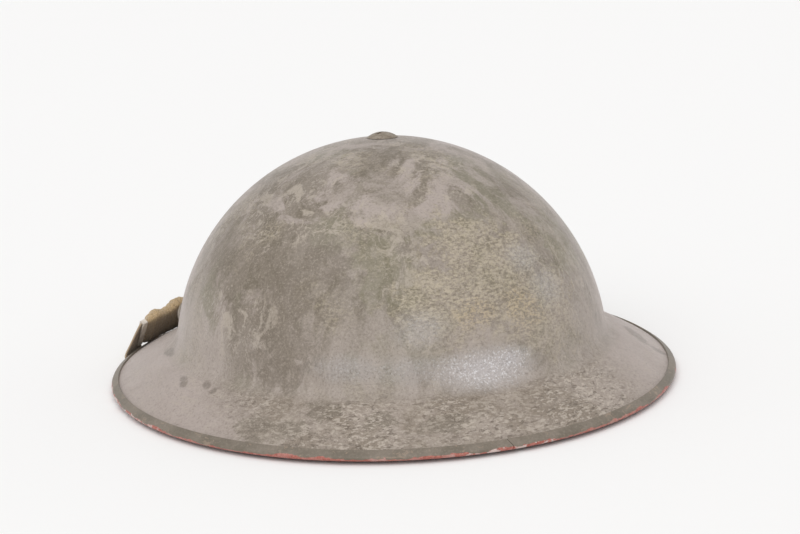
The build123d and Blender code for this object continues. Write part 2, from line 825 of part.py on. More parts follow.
def make_spacer():
    """Thick soft ring between the inside of the crown and the crossed bands."""
    bottom = upper_band_top + seat_clearance
    blank = drum(spacer_diameter, bottom, crown_outside)
    blank = blank & stretched(under_surface(sheet + seat_clearance, crown_core_radius))
    return blank - drum(screw_hole, bottom - overrun, crown_outside + overrun)


def make_washer():
    """Plain steel washer under the crossed bands."""
    washer = drum(washer_diameter, washer_top - washer_sheet, washer_top)
    return washer - drum(screw_hole, washer_top - overrun, washer_top + overrun)


def make_nut():
    """Hexagon nut at the end of the crown screw."""
    hexagon = RegularPolygon(nut_across_flats / 2, 6, major_radius=False)
    nut = Pos(0, 0, nut_top - nut_height) * extrude(hexagon, nut_height)
    bore = screw_diameter + seat_clearance * 2
    return nut - drum(bore, nut_top - overrun, nut_top + overrun)


def dome(depth):
    """Oval dome below the crossed bands, its surface this far under their inner faces."""
    radius = band_inner - depth
    rise = lower_band_top - band_sheet - hoop_top - depth
    half = Ellipse(radius, rise) & Pos(radius, rise) * Rectangle(radius * 2, rise * 2)
    return stretched(revolve(Plane.XZ * (Pos(0, hoop_top) * half), Axis.Z))


def make_crown_pad():
    """Cross-shaped pad under the crossed bands, hollowed round the nut."""
    layer = dome(pad_clearance) - dome(pad_clearance + pad_thickness)
    arm = SlotCenterToCenter(pad_arm_reach * 2 - pad_arm_width, pad_arm_width)
    cross = extrude(arm + Rot(0, 0, 90) * arm, crown_outside)
    pocket_floor = screw_end - pad_clearance
    pad = layer & cross
    return pad - drum(pad_pocket_diameter, pocket_floor, crown_outside)


tongue_foot_radius = cover_inner - seat_clearance
tongue_foot_height = cover_top - head_cover_top_above


def tongue_ring():
    """All tongues in one: a thin vault from the covering up to the hem round the lace."""
    hem_inner = lace_diameter / 2 + lace_clearance
    hem_outer = hem_inner + hem_sheet
    foot = Vector(tongue_foot_radius, tongue_foot_height)
    tip = Vector(tongue_tip_radius + hem_outer - tongue_sheet / 2, tongue_tip_height)
    shoulder = Vector(tongue_foot_radius, tongue_tip_height - tongue_foot_rise)
    inner_step = Vector(-tongue_sheet, 0)
    lower_step = Vector(0, -tongue_sheet)
    vault = Wire(
        [
            Bezier(foot, shoulder, tip),
            Line(tip, tip + lower_step),
            Bezier(tip + lower_step, shoulder + inner_step + lower_step, foot + inner_step),
            Line(foot + inner_step, foot),
        ]
    )
    hem = Pos(tongue_tip_radius, tongue_tip_height - tongue_sheet / 2) * Circle(hem_outer)
    hole = Pos(tongue_tip_radius, tongue_tip_height - tongue_sheet / 2) * Circle(hem_inner)
    section = (make_face(vault) + hem) - hole
    return stretched(revolve(Plane.XZ * section, Axis.Z))


def make_tongue(ring, degrees):
    """One tongue: a wide root at the covering, narrowing to a round-cornered tip."""
    spread = math.pi / tongue_count
    root = cover_inner * long + overrun / 2
    root_half = root * math.tan(spread) * tongue_root_share
    tip_reach = tongue_tip_radius * min(wide, long) - lace_diameter * 2
    tip_half = tongue_tip_radius * math.tan(spread) * tongue_tip_share
    outline = Polyline(
        (root, -root_half),
        (root, root_half),
        (tip_reach, tip_half),
        (tip_reach, -tip_half),
        close=True,
    )
    blade = Rot(0, 0, degrees) * extrude(make_face(outline), crown_outside)
    return ring & blade


def make_lace():
    """Cord through the hems of all the tongues, with a knot and two short tails."""
    height = tongue_tip_height - tongue_sheet / 2
    section = Pos(tongue_tip_radius, height) * Circle(lace_diameter / 2)
    ring = stretched(revolve(Plane.XZ * section, Axis.Z))
    place = oval(tongue_tip_radius, oval_degrees(knot_angle), height)
    knot = Pos(place) * scale(Sphere(knot_diameter / 2), by=(1, knot_flat_share, knot_flat_share))
    lace = ring + knot
    for side in (-1, 1):
        turn = math.radians(knot_angle) + side * math.radians(tail_spread)
        way = Vector(-math.cos(turn), -math.sin(turn), -tail_dip_share)
        end = place + way.normalized() * tail_length
        tail = Plane(origin=place, z_dir=way) * Circle(lace_diameter / 2)
        lace = lace + extrude(tail, (end - place).length)
    return lace


knot_angle = 90 - 180 / tongue_count
knot_flat_share = 0.75
tail_dip_share = 0.25


def other_side(solid):
    """The mirror twin across the helmet's middle plane."""
    return mirror(solid, about=Plane.YZ)


def save(name, pieces):
    """One STEP file, named for the node."""
    solids = pieces if isinstance(pieces, list) else [pieces]
    bodies = [body for piece in solids for body in piece.solids()]
    shape = bodies[0] if len(bodies) == 1 else Compound(children=bodies)
    export_step(shape, f"parts/{name}.step")


def save_pair(name, solid):
    """The wearer's left piece and its mirror twin on the right."""
    save(f"{name}_left", solid)
    save(f"{name}_right", other_side(solid))


os.makedirs("parts", exist_ok=True)

save("shell", make_shell())
save("rim_strip", make_rim_strip())
save("crown_screw", make_crown_screw())
save("crown_spacer", make_spacer())
save("crown_washer", make_washer())
save("crown_nut", make_nut())

lug_place = bowl_frame(lug_left_angle, lug_height, sheet).location
save_pair("chinstrap_lug", lug_place * make_lug())
left_rivet = lug_place * make_lug_rivet()
save("lug_rivets", [left_rivet, other_side(left_rivet)])
save_pair("strap_loop", loop_frame(lug_left_angle).location * make_loop())

save_pair("strap_end_webbing", make_side_webbing())
crimp = make_crimp()
outer_crimp = Plane(origin=sleeve_start - sleeve_way * crimp_length, x_dir=sleeve_across, z_dir=sleeve_way)
inner_crimp = Plane(origin=sleeve_end, x_dir=sleeve_across, z_dir=sleeve_way)
save_pair("outer_crimp", outer_crimp.location * crimp)
save_pair("inner_crimp", inner_crimp.location * crimp)
save_pair("sprung_sleeve", sleeve_frame.location * make_sleeve())
spring = make_spring()
spring_offset = (sleeve_width - sleeve_wall * 2) / 4
for name, shift in (("upper_spring", spring_offset), ("lower_spring", -spring_offset)):
    save_pair(name, sleeve_frame.location * Pos(shift, 0, 0) * spring)
save("centre_webbing", make_centre_webbing())

save("liner_band", make_hoop())
save("band_joint_plate", make_joint_plate())
save("band_joint_rivets", make_joint_rivets())
save("head_cover", make_head_cover())
save("head_cover_rivets", make_cover_rivets())
save("cross_band_long", make_cross_band(Plane.YZ, long, upper_band_top))
save("cross_band_wide", make_cross_band(Plane.XZ, wide, lower_band_top))
for name, degrees in zip(("left", "rear", "right", "front"), buffer_angles):
    save(f"buffer_{name}", make_buffer(degrees))
save("buffer_rivets", make_buffer_rivets())
save("crown_pad", make_crown_pad())
vault = tongue_ring()
for number in range(tongue_count):
    save(f"tongue_{number + 1}", make_tongue(vault, 360 * number / tongue_count))
save("draw_lace", make_lace())
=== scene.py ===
import bpy
import json
import math
import random
from mathutils import Matrix, Vector

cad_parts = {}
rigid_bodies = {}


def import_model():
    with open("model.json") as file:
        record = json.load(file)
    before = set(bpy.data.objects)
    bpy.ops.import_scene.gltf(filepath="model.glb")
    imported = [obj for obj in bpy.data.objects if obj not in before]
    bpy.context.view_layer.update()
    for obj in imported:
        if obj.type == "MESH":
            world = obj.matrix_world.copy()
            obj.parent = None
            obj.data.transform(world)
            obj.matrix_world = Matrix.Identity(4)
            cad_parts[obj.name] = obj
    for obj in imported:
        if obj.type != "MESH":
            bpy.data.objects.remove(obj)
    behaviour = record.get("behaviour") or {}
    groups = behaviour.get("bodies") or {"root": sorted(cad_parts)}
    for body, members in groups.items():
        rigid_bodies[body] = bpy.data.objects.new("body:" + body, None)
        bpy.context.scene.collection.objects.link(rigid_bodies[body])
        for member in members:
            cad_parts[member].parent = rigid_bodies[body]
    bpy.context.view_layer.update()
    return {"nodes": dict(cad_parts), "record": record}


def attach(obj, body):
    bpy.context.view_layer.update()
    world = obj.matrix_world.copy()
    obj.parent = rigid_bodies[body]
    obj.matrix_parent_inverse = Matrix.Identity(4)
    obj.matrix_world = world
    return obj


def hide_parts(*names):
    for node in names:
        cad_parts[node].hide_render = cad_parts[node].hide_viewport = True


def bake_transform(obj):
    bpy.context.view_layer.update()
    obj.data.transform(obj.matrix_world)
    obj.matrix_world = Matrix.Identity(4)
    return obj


for leftover in list(bpy.data.objects):
    bpy.data.objects.remove(leftover)
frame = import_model()
nodes = frame["nodes"]
bpy.ops.object.select_all(action="DESELECT")

MM = 0.001

# Overall plan of the helmet, in millimetres: the rim's oval against its mean circle
WIDE = 146.0 / 149.25
LONG = 152.5 / 149.25
SIDES = (("left", 1), ("right", -1))


# ---------------------------------------------------------------- camera, light and floor

def set_camera():
    bpy.ops.object.camera_add()
    camera = bpy.context.object
    camera.name = "camera"
    camera.data.lens = 64.61
    camera.data.sensor_width = 36.0
    camera.data.clip_start = 0.01
    camera.data.clip_end = 100.0
    seat = Vector((0.24468, 0.69063, 0.21386))
    target = Vector((-0.005905, 0.002149, 0.05353))
    look = (target - seat).normalized()
    level = Vector((-0.9397, 0.3420, 0.0)).normalized()
    above = level.cross(look)
    roll = math.radians(-2.405)
    right = level * math.cos(roll) + above * math.sin(roll)
    up = above * math.cos(roll) - level * math.sin(roll)
    turn = Matrix((right, up, -look)).transposed()
    camera.matrix_world = Matrix.Translation(seat) @ turn.to_4x4()
    bpy.context.scene.camera = camera


def set_light():
    bpy.context.scene.view_settings.view_transform = "Standard"
    bpy.ops.object.light_add(type="SUN", location=(0.4, 0.6, 1.5))
    lamp = bpy.context.object
    lamp.name = "broad lamp"
    lamp.data.energy = 1.35
    lamp.data.angle = math.radians(75)
    way = Vector((-0.35, -0.55, -0.9)).normalized()
    lamp.rotation_euler = way.to_track_quat("-Z", "Y").to_euler()

    world = bpy.data.worlds.new("white room")
    world.use_nodes = True
    bpy.context.scene.world = world
    tree = world.node_tree
    back = tree.nodes["Background"]
    feed(back, {"Strength": 0.68, "Color": (1, 1, 1, 1)})
    seen = put(tree, "ShaderNodeBackground", {"Color": (0.97, 0.965, 0.96, 1)})
    path = put(tree, "ShaderNodeLightPath").outputs
    either = larger(path["Is Camera Ray"], path["Is Transmission Ray"])
    choice = put(tree, "ShaderNodeMixShader", {0: either, 1: back.outputs[0], 2: seen.outputs[0]})
    tree.links.new(choice.outputs[0], tree.nodes["World Output"].inputs["Surface"])


def set_floor():
    bpy.ops.mesh.primitive_circle_add(vertices=96, radius=40.0, fill_type="NGON", location=(0, 0, 0))
    floor = bpy.context.object
    floor.name = "pale floor"
    material = bpy.data.materials.new("pale floor")
    material.use_nodes = True
    shader = material.node_tree.nodes["Principled BSDF"]
    feed(shader, {"Base Color": (0.93, 0.925, 0.92, 1), "Roughness": 0.9, "Specular IOR Level": 0.1})
    floor.data.materials.append(material)
    bpy.ops.object.select_all(action="DESELECT")


# ---------------------------------------------------------------- node helpers

def feed(node, inputs):
    """Sockets are linked and values are set."""
    for name, value in inputs.items():
        if isinstance(value, bpy.types.NodeSocket):
            node.id_data.links.new(value, node.inputs[name])
        else:
            node.inputs[name].default_value = value


def put(tree, kind, inputs=None, **settings):
    """A node with its settings and inputs."""
    node = tree.nodes.new(kind)
    for name, value in settings.items():
        setattr(node, name, value)
    feed(node, inputs or {})
    return node


def tree_of(*values):
    """The node tree that the sockets among the values are in."""
    return next(value.id_data for value in values if isinstance(value, bpy.types.NodeSocket))


def sums(operation, *values):
    """Output of a Math node."""
    given = dict(enumerate(values))
    return put(tree_of(*values), "ShaderNodeMath", given, operation=operation).outputs[0]


def times(*values):
    return sums("MULTIPLY", *values)


def plus(*values):
    return sums("ADD", *values)


def minus(*values):
    return sums("SUBTRACT", *values)


def larger(*values):
    return sums("MAXIMUM", *values)


def vectors(operation, *values, get=0):
    """Output of a Vector Math node."""
    given = dict(enumerate(values))
    return put(tree_of(*values), "ShaderNodeVectorMath", given, operation=operation).outputs[get]


def xyz(vector):
    """The three numbers of a vector."""
    return put(vector.id_data, "ShaderNodeSeparateXYZ", {0: vector}).outputs


def stretched(place, scale, rotation=(0, 0, 0)):
    given = {"Vector": place, "Rotation": rotation, "Scale": scale}
    return put(place.id_data, "ShaderNodeMapping", given).outputs[0]


def opaque(colour):
    """Red, green and blue with full alpha; a socket stays as it is."""
    return (*colour, 1) if isinstance(colour, tuple) else colour


def coat(mask, under, over, strength=None):
    """One colour over another where the mask is, weakened by the strength."""
    if strength is not None:
        mask = times(mask, strength)
    given = {0: mask, 6: opaque(under), 7: opaque(over)}
    return put(mask.id_data, "ShaderNodeMix", given, data_type="RGBA").outputs[2]


def between(value, low, high, to_low=0.0, to_high=1.0):
    """Value moved smoothly from one range to another, held at its ends."""
    given = {"Value": value, "From Min": low, "From Max": high, "To Min": to_low, "To Max": to_high}
    return put(value.id_data, "ShaderNodeMapRange", given, interpolation_type="SMOOTHSTEP").outputs[0]


def noise(place, scale, detail=4.0, roughness=0.6, distortion=0.0):
    given = {
        "Vector": place, "Scale": scale, "Detail": detail, "Roughness": roughness, "Distortion": distortion,
    }
    return put(place.id_data, "ShaderNodeTexNoise", given).outputs[0]


def cracks_between_cells(place, scale, width):
    """Mask of fine cracks, such as crazing."""
    given = {"Vector": place, "Scale": scale, "Randomness": 1.0}
    cells = put(place.id_data, "ShaderNodeTexVoronoi", given, feature="DISTANCE_TO_EDGE")
    return between(cells.outputs[0], width, 0.0)


def new_group(name, inputs, outputs):
    """Empty node group with named sockets, and its two end nodes."""
    group = bpy.data.node_groups.new(name, "ShaderNodeTree")
    kinds = {"value": "NodeSocketFloat", "vector": "NodeSocketVector"}
    for socket, kind in inputs:
        group.interface.new_socket(name=socket, in_out="INPUT", socket_type=kinds[kind])
    for socket, kind in outputs:
        group.interface.new_socket(name=socket, in_out="OUTPUT", socket_type=kinds[kind])
    return group, group.nodes.new("NodeGroupInput").outputs, group.nodes.new("NodeGroupOutput").inputs


def use(group, *values):
    """A group placed in a tree, its sockets given in order."""
    return put(tree_of(*values), "ShaderNodeGroup", dict(enumerate(values)), node_tree=group).outputs


# ---------------------------------------------------------------- shared effects

def make_ragged_patch():
    """Worn spot round a centre. Raggedness tears its edge and softness blurs it."""
    group, given, out = new_group(
        "ragged patch",
        [
            ("place", "vector"), ("centre", "vector"), ("size", "vector"),
            ("raggedness", "value"), ("softness", "value"),
        ],
        [("mask", "value")],
    )
    apart = vectors("SUBTRACT", given["place"], given["centre"])
    share = vectors("DIVIDE", apart, given["size"])
    reach = vectors("LENGTH", share, get="Value")
    torn = minus(noise(given["place"], 0.11, 8, 0.72, 0.8), 0.5)
    edge = plus(reach, times(torn, given["raggedness"]))
    outer = plus(1.0, given["softness"])
    inner = minus(1.0, given["softness"])
    group.links.new(between(edge, outer, inner), out["mask"])
    return group


def make_flakes():
    """Chipped and rubbed scales of paint. They show where the noise is over the threshold."""
    group, given, out = new_group(
        "paint flakes",
        [("place", "vector"), ("size", "value"), ("threshold", "value"), ("softness", "value")],
        [("mask", "value")],
    )
    scale = sums("DIVIDE", 1.0, given["size"])
    torn = noise(given["place"], scale, 9, 0.7, 1.4)
    end = plus(given["threshold"], given["softness"])
    group.links.new(between(torn, given["threshold"], end), out["mask"])
    return group


def make_grit():
    """Fine grains, as in paint that was thrown on with grit in it."""
    group, given, out = new_group(
        "grit",
        [("place", "vector"), ("size", "value"), ("threshold", "value")],
        [("mask", "value"), ("height", "value")],
    )
    scale = sums("DIVIDE", 1.0, given["size"])
    grains = noise(given["place"], scale, 3, 0.65, 0.5)
    end = plus(given["threshold"], 0.06)
    group.links.new(between(grains, given["threshold"], end), out["mask"])
    group.links.new(grains, out["height"])
    return group


def make_weave():
    """Plain weave. Along and across are counted in threads."""
    group, given, out = new_group(
        "plain weave",
        [("along", "value"), ("across", "value")],
        [("height", "value"), ("gap", "value")],
    )
    warp = sums("ABSOLUTE", sums("SINE", times(given["across"], math.pi)))
    weft = sums("ABSOLUTE", sums("SINE", times(given["along"], math.pi)))
    steps = plus(sums("FLOOR", given["along"]), sums("FLOOR", given["across"]))
    over = sums("FLOORED_MODULO", steps, 2.0)
    under = minus(1.0, over)
    top = plus(times(over, warp), times(under, weft))
    low = times(sums("MINIMUM", warp, weft), 0.5)
    height = plus(times(top, 0.7), low)
    group.links.new(height, out["height"])
    group.links.new(between(height, 0.45, 0.1), out["gap"])
    return group


def make_soil():
    """Dirt and age in broad clouds and small spots."""
    group, given, out = new_group("soiling", [("place", "vector"), ("amount", "value")], [("mask", "value")])
    clouds = noise(given["place"], 0.045, 5, 0.62, 0.5)
    spots = noise(given["place"], 0.5, 3, 0.6)
    both = plus(times(clouds, 0.75), times(spots, 0.25))
    start = between(given["amount"], 0.0, 1.0, 0.7, 0.35)
    group.links.new(between(both, start, plus(start, 0.2)), out["mask"])
    return group


RAGGED_PATCH = make_ragged_patch()
FLAKES = make_flakes()
GRIT = make_grit()
WEAVE = make_weave()
SOIL = make_soil()


def patches(place, spots, raggedness, softness):
    """One mask for several worn spots: (centre, size) in millimetres."""
    masks = [use(RAGGED_PATCH, place, centre, size, raggedness, softness)["mask"] for centre, size in spots]
    whole = masks[0]
    for mask in masks[1:]:
        whole = larger(whole, mask)
    return whole


def new_finish(name):
    """Material, its shader and its coordinates in millimetres."""
    material = bpy.data.materials.new(name)
    material.use_nodes = True
    tree = material.node_tree
    spot = put(tree, "ShaderNodeTexCoord").outputs["Object"]
    return material, tree.nodes["Principled BSDF"], stretched(spot, (1000, 1000, 1000))


def dress(shader, colour, roughness, height, strength, depth, also=None):
    """Feeds a shader. Depth is the height of the relief in millimetres."""
    given = {"Strength": strength, "Distance": depth * MM, "Height": height}
    bump = put(shader.id_data, "ShaderNodeBump", given).outputs[0]
    feed(shader, {"Base Color": colour, "Roughness": roughness, "Normal": bump, **(also or {})})


# ---------------------------------------------------------------- painted steel of the shell

# Places of the wear, of the painted highlights and of the painted reflections: middle and size, in
# millimetres
TAN_SPOTS = [
    ((-18, 101, 63), (30, 30, 24)), ((12, 104, 56), (22, 20, 18)), ((-42, 101, 47), (24, 24, 22)),
    ((-9, 90, 80), (20, 24, 14)), ((60, -84, 66), (34, 30, 26)), ((-66, -70, 70), (26, 30, 22)),
    ((10, -100, 60), (30, 26, 14)),
]
ORANGE_SPOTS = [
    ((-3, 108, 52), (9, 9, 6)), ((-28, 104, 50), (12, 9, 9)), ((66, -84, 60), (12, 12, 9)),
]
GREEN_SPOTS = [
    ((31, 95, 68), (15, 16, 14)), ((36, 84, 80), (12, 14, 10)), ((-64, 70, 72), (14, 20, 14)),
    ((-2, 83, 90), (26, 16, 9)), ((30, 106, 38), (24, 16, 9)), ((-50, 102, 32), (24, 16, 8)),
    ((84, -60, 52), (24, 26, 18)), ((-30, -98, 56), (24, 20, 18)),
]
# Painted highlights: bright lamp reflections on the fillet, painted into the colour
PAINTED_HIGHLIGHT_SPOTS = [
    ((-5, 114, 28), (19, 10, 7)), ((-15, 113, 30), (11, 9, 5)), ((-70, -92, 26), (24, 16, 7)),
    ((60, -100, 27), (20, 14, 6)),
]
# Painted reflections: bluish sheen on the fillet and lower wall, painted into the colour
PAINTED_REFLECTION_SPOTS = [
    ((55, 98, 32), (16, 12, 5)), ((30, 108, 31), (18, 10, 5)), ((24, 107, 48), (10, 9, 7)),
    ((-45, 95, 58), (9, 9, 8)), ((-36, 92, 72), (9, 9, 6)), ((48, -104, 40), (16, 12, 6)),
]
PALE_SPOTS = [
    ((45, 34, 107), (12, 12, 10)), ((56, 37, 100), (12, 14, 12)), ((62, 46, 92), (15, 16, 12)),
    ((52, 58, 90), (14, 12, 12)), ((36, 66, 95), (12, 12, 9)), ((-1, 50, 111), (16, 16, 9)),
    ((-3, 70, 99), (20, 12, 8)), ((100, 36, 42), (12, 20, 24)), ((88, 60, 44), (12, 16, 20)),
    ((75, 36, 84), (12, 14, 12)), ((-47, 90, 66), (14, 12, 12)), ((6, 108, 44), (26, 12, 8)),
    ((-40, -60, 95), (26, 24, 14)), ((90, -30, 60), (14, 26, 20)), ((-95, 0, 60), (14, 30, 24)),
]
DARK_SPOTS = [
    ((80, 76, 42), (12, 14, 18)), ((83, 78, 26), (12, 12, 5)), ((72, 68, 62), (14, 16, 16)),
    ((58, 76, 74), (12, 12, 13)), ((-88, -40, 60), (18, 26, 20)),
]
BRIM_DARK_SPOTS = [
    ((101, 96, 10), (9, 12, 5)), ((88, 105, 11), (12, 7, 5)), ((70, 104, 17), (10, 9, 5)),
    ((51, 122, 15), (8, 7, 4)), ((20, 134, 12), (14, 6, 4)), ((-80, -110, 12), (22, 10, 5)),
]
SCUFFS = [
    ((115, -17, 20), (2.4, 9, 3)), ((117, 28, 18), (2.2, 3.5, 3)), ((118.5, 32, 17), (2.2, 3.5, 3)),
    ((110, 46, 19), (2.0, 4, 3)), ((109, 54, 18), (2.4, 2.4, 3)), ((-119, 52, 14), (5, 16, 4)),
    ((-126, 66, 10), (7, 5, 4)), ((-30, -136, 12), (12, 3, 4)),
]


def make_shell_paint():
    """Worn grey-olive paint with grit in it, on the bowl and brim."""
    material, shader, place = new_finish("worn grey-olive paint")
    split = xyz(place)
    flat = vectors("MULTIPLY", place, (1 / WIDE, 1 / LONG, 0))
    reach = vectors("LENGTH", flat, get="Value")
    brim = between(reach, 114.5, 122)
    wall = minus(1.0, brim)
    upright = stretched(place, (1, 1, 0.62))
    turned = vectors("NORMALIZE", flat)
    turned = vectors("MULTIPLY", turned, (58, 58, 58))
    steep = put(place.id_data, "ShaderNodeCombineXYZ", {"Z": reach}).outputs[0]
    round_brim = vectors("ADD", turned, steep)

    # Broad drifts of grey, brown and olive
    drift = noise(place, 0.016, 6, 0.62, 0.6)
    cloud = noise(upright, 0.055, 9, 0.72, 1.2)
    fine = noise(place, 0.9, 4, 0.72)
    colour = coat(between(drift, 0.4, 0.6), (0.195, 0.16, 0.122), (0.255, 0.215, 0.176))
    colour = coat(between(cloud, 0.47, 0.6, 0.0, 0.85), colour, (0.148, 0.121, 0.085))
    olive = between(noise(place, 0.02, 4, 0.6), 0.5, 0.62, 0.0, 0.55)
    colour = coat(olive, colour, (0.19, 0.176, 0.112))

    # Greener places that show older paint
    green = patches(place, GREEN_SPOTS, 3.4, 0.3)
    colour = coat(green, colour, (0.196, 0.178, 0.11), 0.58)

    # Pinkish haze: dust rubbed in at the pale spots, and painted sheen over the bowl, stronger towards its
    # top
    haze = noise(upright, 0.03, 8, 0.7, 1.0)
    rubbed = patches(place, PALE_SPOTS, 3.2, 0.35)
    # Painted sheen: paler colour that grows towards the top of the bowl
    painted_top_sheen = between(split[2], 62, 106, 0.32, 0.74)
    dust_and_painted_sheen = times(between(haze, 0.45, 0.57), plus(painted_top_sheen, times(rubbed, 0.5)))
    colour = coat(dust_and_painted_sheen, colour, (0.385, 0.325, 0.292))

    # Pale torn scales where the last coat is rubbed off
    large = use(FLAKES, upright, 13.0, 0.535, 0.05)["mask"]
    small = use(FLAKES, place, 4.2, 0.56, 0.04)["mask"]
    scales = larger(large, times(small, 0.8))
    thin = between(noise(place, 0.024, 4), 0.44, 0.58, 0.12, 0.7)
    scaled = times(scales, larger(times(rubbed, 0.85), thin))
    scaled = times(scaled, wall)
    colour = coat(scaled, colour, (0.425, 0.365, 0.3), 0.92)

    # Granular tan places
    tan = patches(place, TAN_SPOTS, 3.6, 0.22)
    strands = stretched(place, (1, 1, 2.6), (0.5, 0.35, 0))
    grains = use(GRIT, place, 1.5, 0.5)
    fibres = use(GRIT, strands, 2.6, 0.53)
    streaks = larger(fibres["mask"], times(grains["mask"], 0.7))
    stray = between(noise(place, 0.03, 4, 0.6), 0.5, 0.64, 0.0, 0.55)
    gritty = times(larger(tan, stray), wall)
    bed = times(tan, 0.35)
    colour = coat(bed, colour, (0.3, 0.25, 0.18))
    colour = coat(times(gritty, times(streaks, 0.7)), colour, (0.49, 0.42, 0.31))
    hollows = sums("LESS_THAN", fibres["height"], 0.42)
    colour = coat(times(gritty, times(hollows, 0.5)), colour, (0.15, 0.122, 0.08))
    warm = times(patches(place, ORANGE_SPOTS, 2.6, 0.5), streaks)
    colour = coat(warm, colour, (0.54, 0.4, 0.225), 0.42)

    # Brim: dusty, speckled with brown along its curve, and rubbed smooth here and there
    dust = between(noise(place, 0.03, 7, 0.68, 0.8), 0.42, 0.6)
    brim_colour = coat(dust, (0.232, 0.188, 0.146), (0.335, 0.28, 0.238))
    # Painted sheen: the brim's two sides are painted paler and pinkish
    side = larger(between(split[0], 85, 122), between(split[0], -52, -98))
    brim_colour = coat(side, brim_colour, (0.43, 0.362, 0.335), 0.7)
    worn = patches(place, BRIM_DARK_SPOTS, 3.0, 0.15)
    brim_colour = coat(worn, brim_colour, (0.175, 0.145, 0.108), 0.68)
    chips = use(FLAKES, round_brim, 6.0, 0.53, 0.08)["mask"]
    brim_colour = coat(chips, brim_colour, (0.42, 0.36, 0.3), 0.42)
    rough_part = between(noise(place, 0.022, 4), 0.4, 0.56, 0.45, 1.0)
    rough_part = times(rough_part, minus(1.0, times(side, 0.85)))
    motes = use(GRIT, round_brim, 1.3, 0.52)
    brim_colour = coat(times(rough_part, times(motes["mask"], 0.75)), brim_colour, (0.5, 0.435, 0.37))
    dashes = use(GRIT, round_brim, 1.7, 0.555)["mask"]
    pits = times(dashes, rough_part)
    brim_colour = coat(pits, brim_colour, (0.112, 0.083, 0.058), 0.72)
    colour = coat(brim, colour, brim_colour)

    # Lower wall, painted paler above the brim: painted bounce light and painted reflection
    foot = times(between(split[2], 62, 34), between(haze, 0.36, 0.6, 0.25, 0.62))
    colour = coat(times(foot, wall), colour, (0.41, 0.352, 0.315))
    dark = patches(place, DARK_SPOTS, 4.2, 0.14)
    dark = times(dark, minus(0.64, times(scales, 0.34)))
    colour = coat(dark, colour, (0.172, 0.14, 0.106))

    # Painted highlights on glossier places, painted bluish reflections, painted glints in them, and dark
    # scuffs
    painted_bluish_reflection = patches(place, PAINTED_REFLECTION_SPOTS, 1.2, 0.8)
    colour = coat(painted_bluish_reflection, colour, (0.4, 0.385, 0.39), 0.32)
    # Painted highlight: pale colour where lamp reflections would be
    shine = patches(place, PAINTED_HIGHLIGHT_SPOTS, 0.5, 0.85)
    colour = coat(shine, colour, (0.52, 0.485, 0.485), 0.85)
    specks = use(GRIT, place, 0.9, 0.55)["mask"]
    painted_glints = times(specks, plus(times(shine, 0.7), times(painted_bluish_reflection, 0.15)))
    colour = coat(painted_glints, colour, (0.9, 0.9, 0.92))
    scuffed = patches(place, SCUFFS, 2.0, 0.3)
    colour = coat(scuffed, colour, (0.13, 0.105, 0.08), 0.62)

    # Every grain is a little lighter or darker
    colour = coat(between(fine, 0.5, 0.7, 0.0, 0.45), colour, (0.45, 0.39, 0.33))
    colour = coat(between(fine, 0.5, 0.3, 0.0, 0.45), colour, (0.12, 0.098, 0.07))

    # Inside of the bowl and under the brim: smoother and darker paint, with a little rust
    spot = vectors("SUBTRACT", place, (0, 0, 10))
    way = put(place.id_data, "ShaderNodeNewGeometry").outputs["True Normal"]
    facing = vectors("DOT_PRODUCT", spot, way, get="Value")
    inside = sums("LESS_THAN", facing, 0.0)
    below = sums("LESS_THAN", xyz(way)[2], -0.3)
    inside = larger(inside, below)
    inner = coat(between(cloud, 0.4, 0.65), (0.12, 0.102, 0.066), (0.172, 0.15, 0.105))
    rusty = use(SOIL, place, 0.35)["mask"]
    inner = coat(rusty, inner, (0.16, 0.075, 0.035), 0.6)
    colour = coat(inside, colour, inner)

    roughness = between(cloud, 0.4, 0.62, 0.46, 0.62)
    roughness = minus(roughness, times(shine, 0.14))
    roughness = plus(roughness, times(gritty, 0.12))
    relief = times(grains["height"], plus(0.35, times(gritty, 0.9)))
    relief = plus(relief, times(fine, 0.6))
    relief = minus(relief, times(scaled, 0.22))
    relief = minus(relief, times(pits, times(brim, 0.45)))
    sheen = {"Sheen Weight": 0.54, "Sheen Roughness": 0.34, "Sheen Tint": (1.0, 0.93, 0.92, 1)}
    dress(shader, colour, roughness, relief, strength=0.6, depth=0.5, also=sheen)
    return material


def make_rim_paint():
    """Smoother dark olive paint of the folded strip, red and bare on its lower fold."""
    material, shader, place = new_finish("dark olive rim paint")
    height = xyz(place)[2]
    cloud = noise(place, 0.07, 5, 0.62)
    fine = noise(place, 0.9, 3, 0.65)
    colour = coat(between(cloud, 0.38, 0.62), (0.15, 0.124, 0.092), (0.205, 0.17, 0.134))
    colour = coat(between(fine, 0.5, 0.72, 0, 0.35), colour, (0.33, 0.28, 0.23))
    colour = coat(between(fine, 0.46, 0.3, 0, 0.35), colour, (0.11, 0.09, 0.06))
    wander = between(noise(place, 0.06, 5, 0.65), 0.35, 0.65, 2.5, 4.2)
    low = between(minus(wander, height), 0.0, 0.15)
    red = coat(between(fine, 0.35, 0.65), (0.31, 0.07, 0.05), (0.45, 0.165, 0.13))
    colour = coat(low, colour, red)
    bare = use(GRIT, place, 4.0, 0.5)["mask"]
    bare = times(bare, between(noise(place, 0.012, 3), 0.42, 0.6, 0.1, 1.0))
    bare = times(bare, low)
    colour = coat(bare, colour, (0.66, 0.58, 0.54))
    chips = use(FLAKES, place, 6.0, 0.57, 0.04)["mask"]
    colour = coat(chips, colour, (0.36, 0.27, 0.2), 0.5)
    roughness = minus(between(cloud, 0.3, 0.7, 0.46, 0.6), times(bare, 0.12))
    sheen = {"Sheen Weight": 0.12, "Sheen Roughness": 0.45}
    dress(shader, colour, roughness, fine, strength=0.3, depth=0.2, also=sheen)
    return material


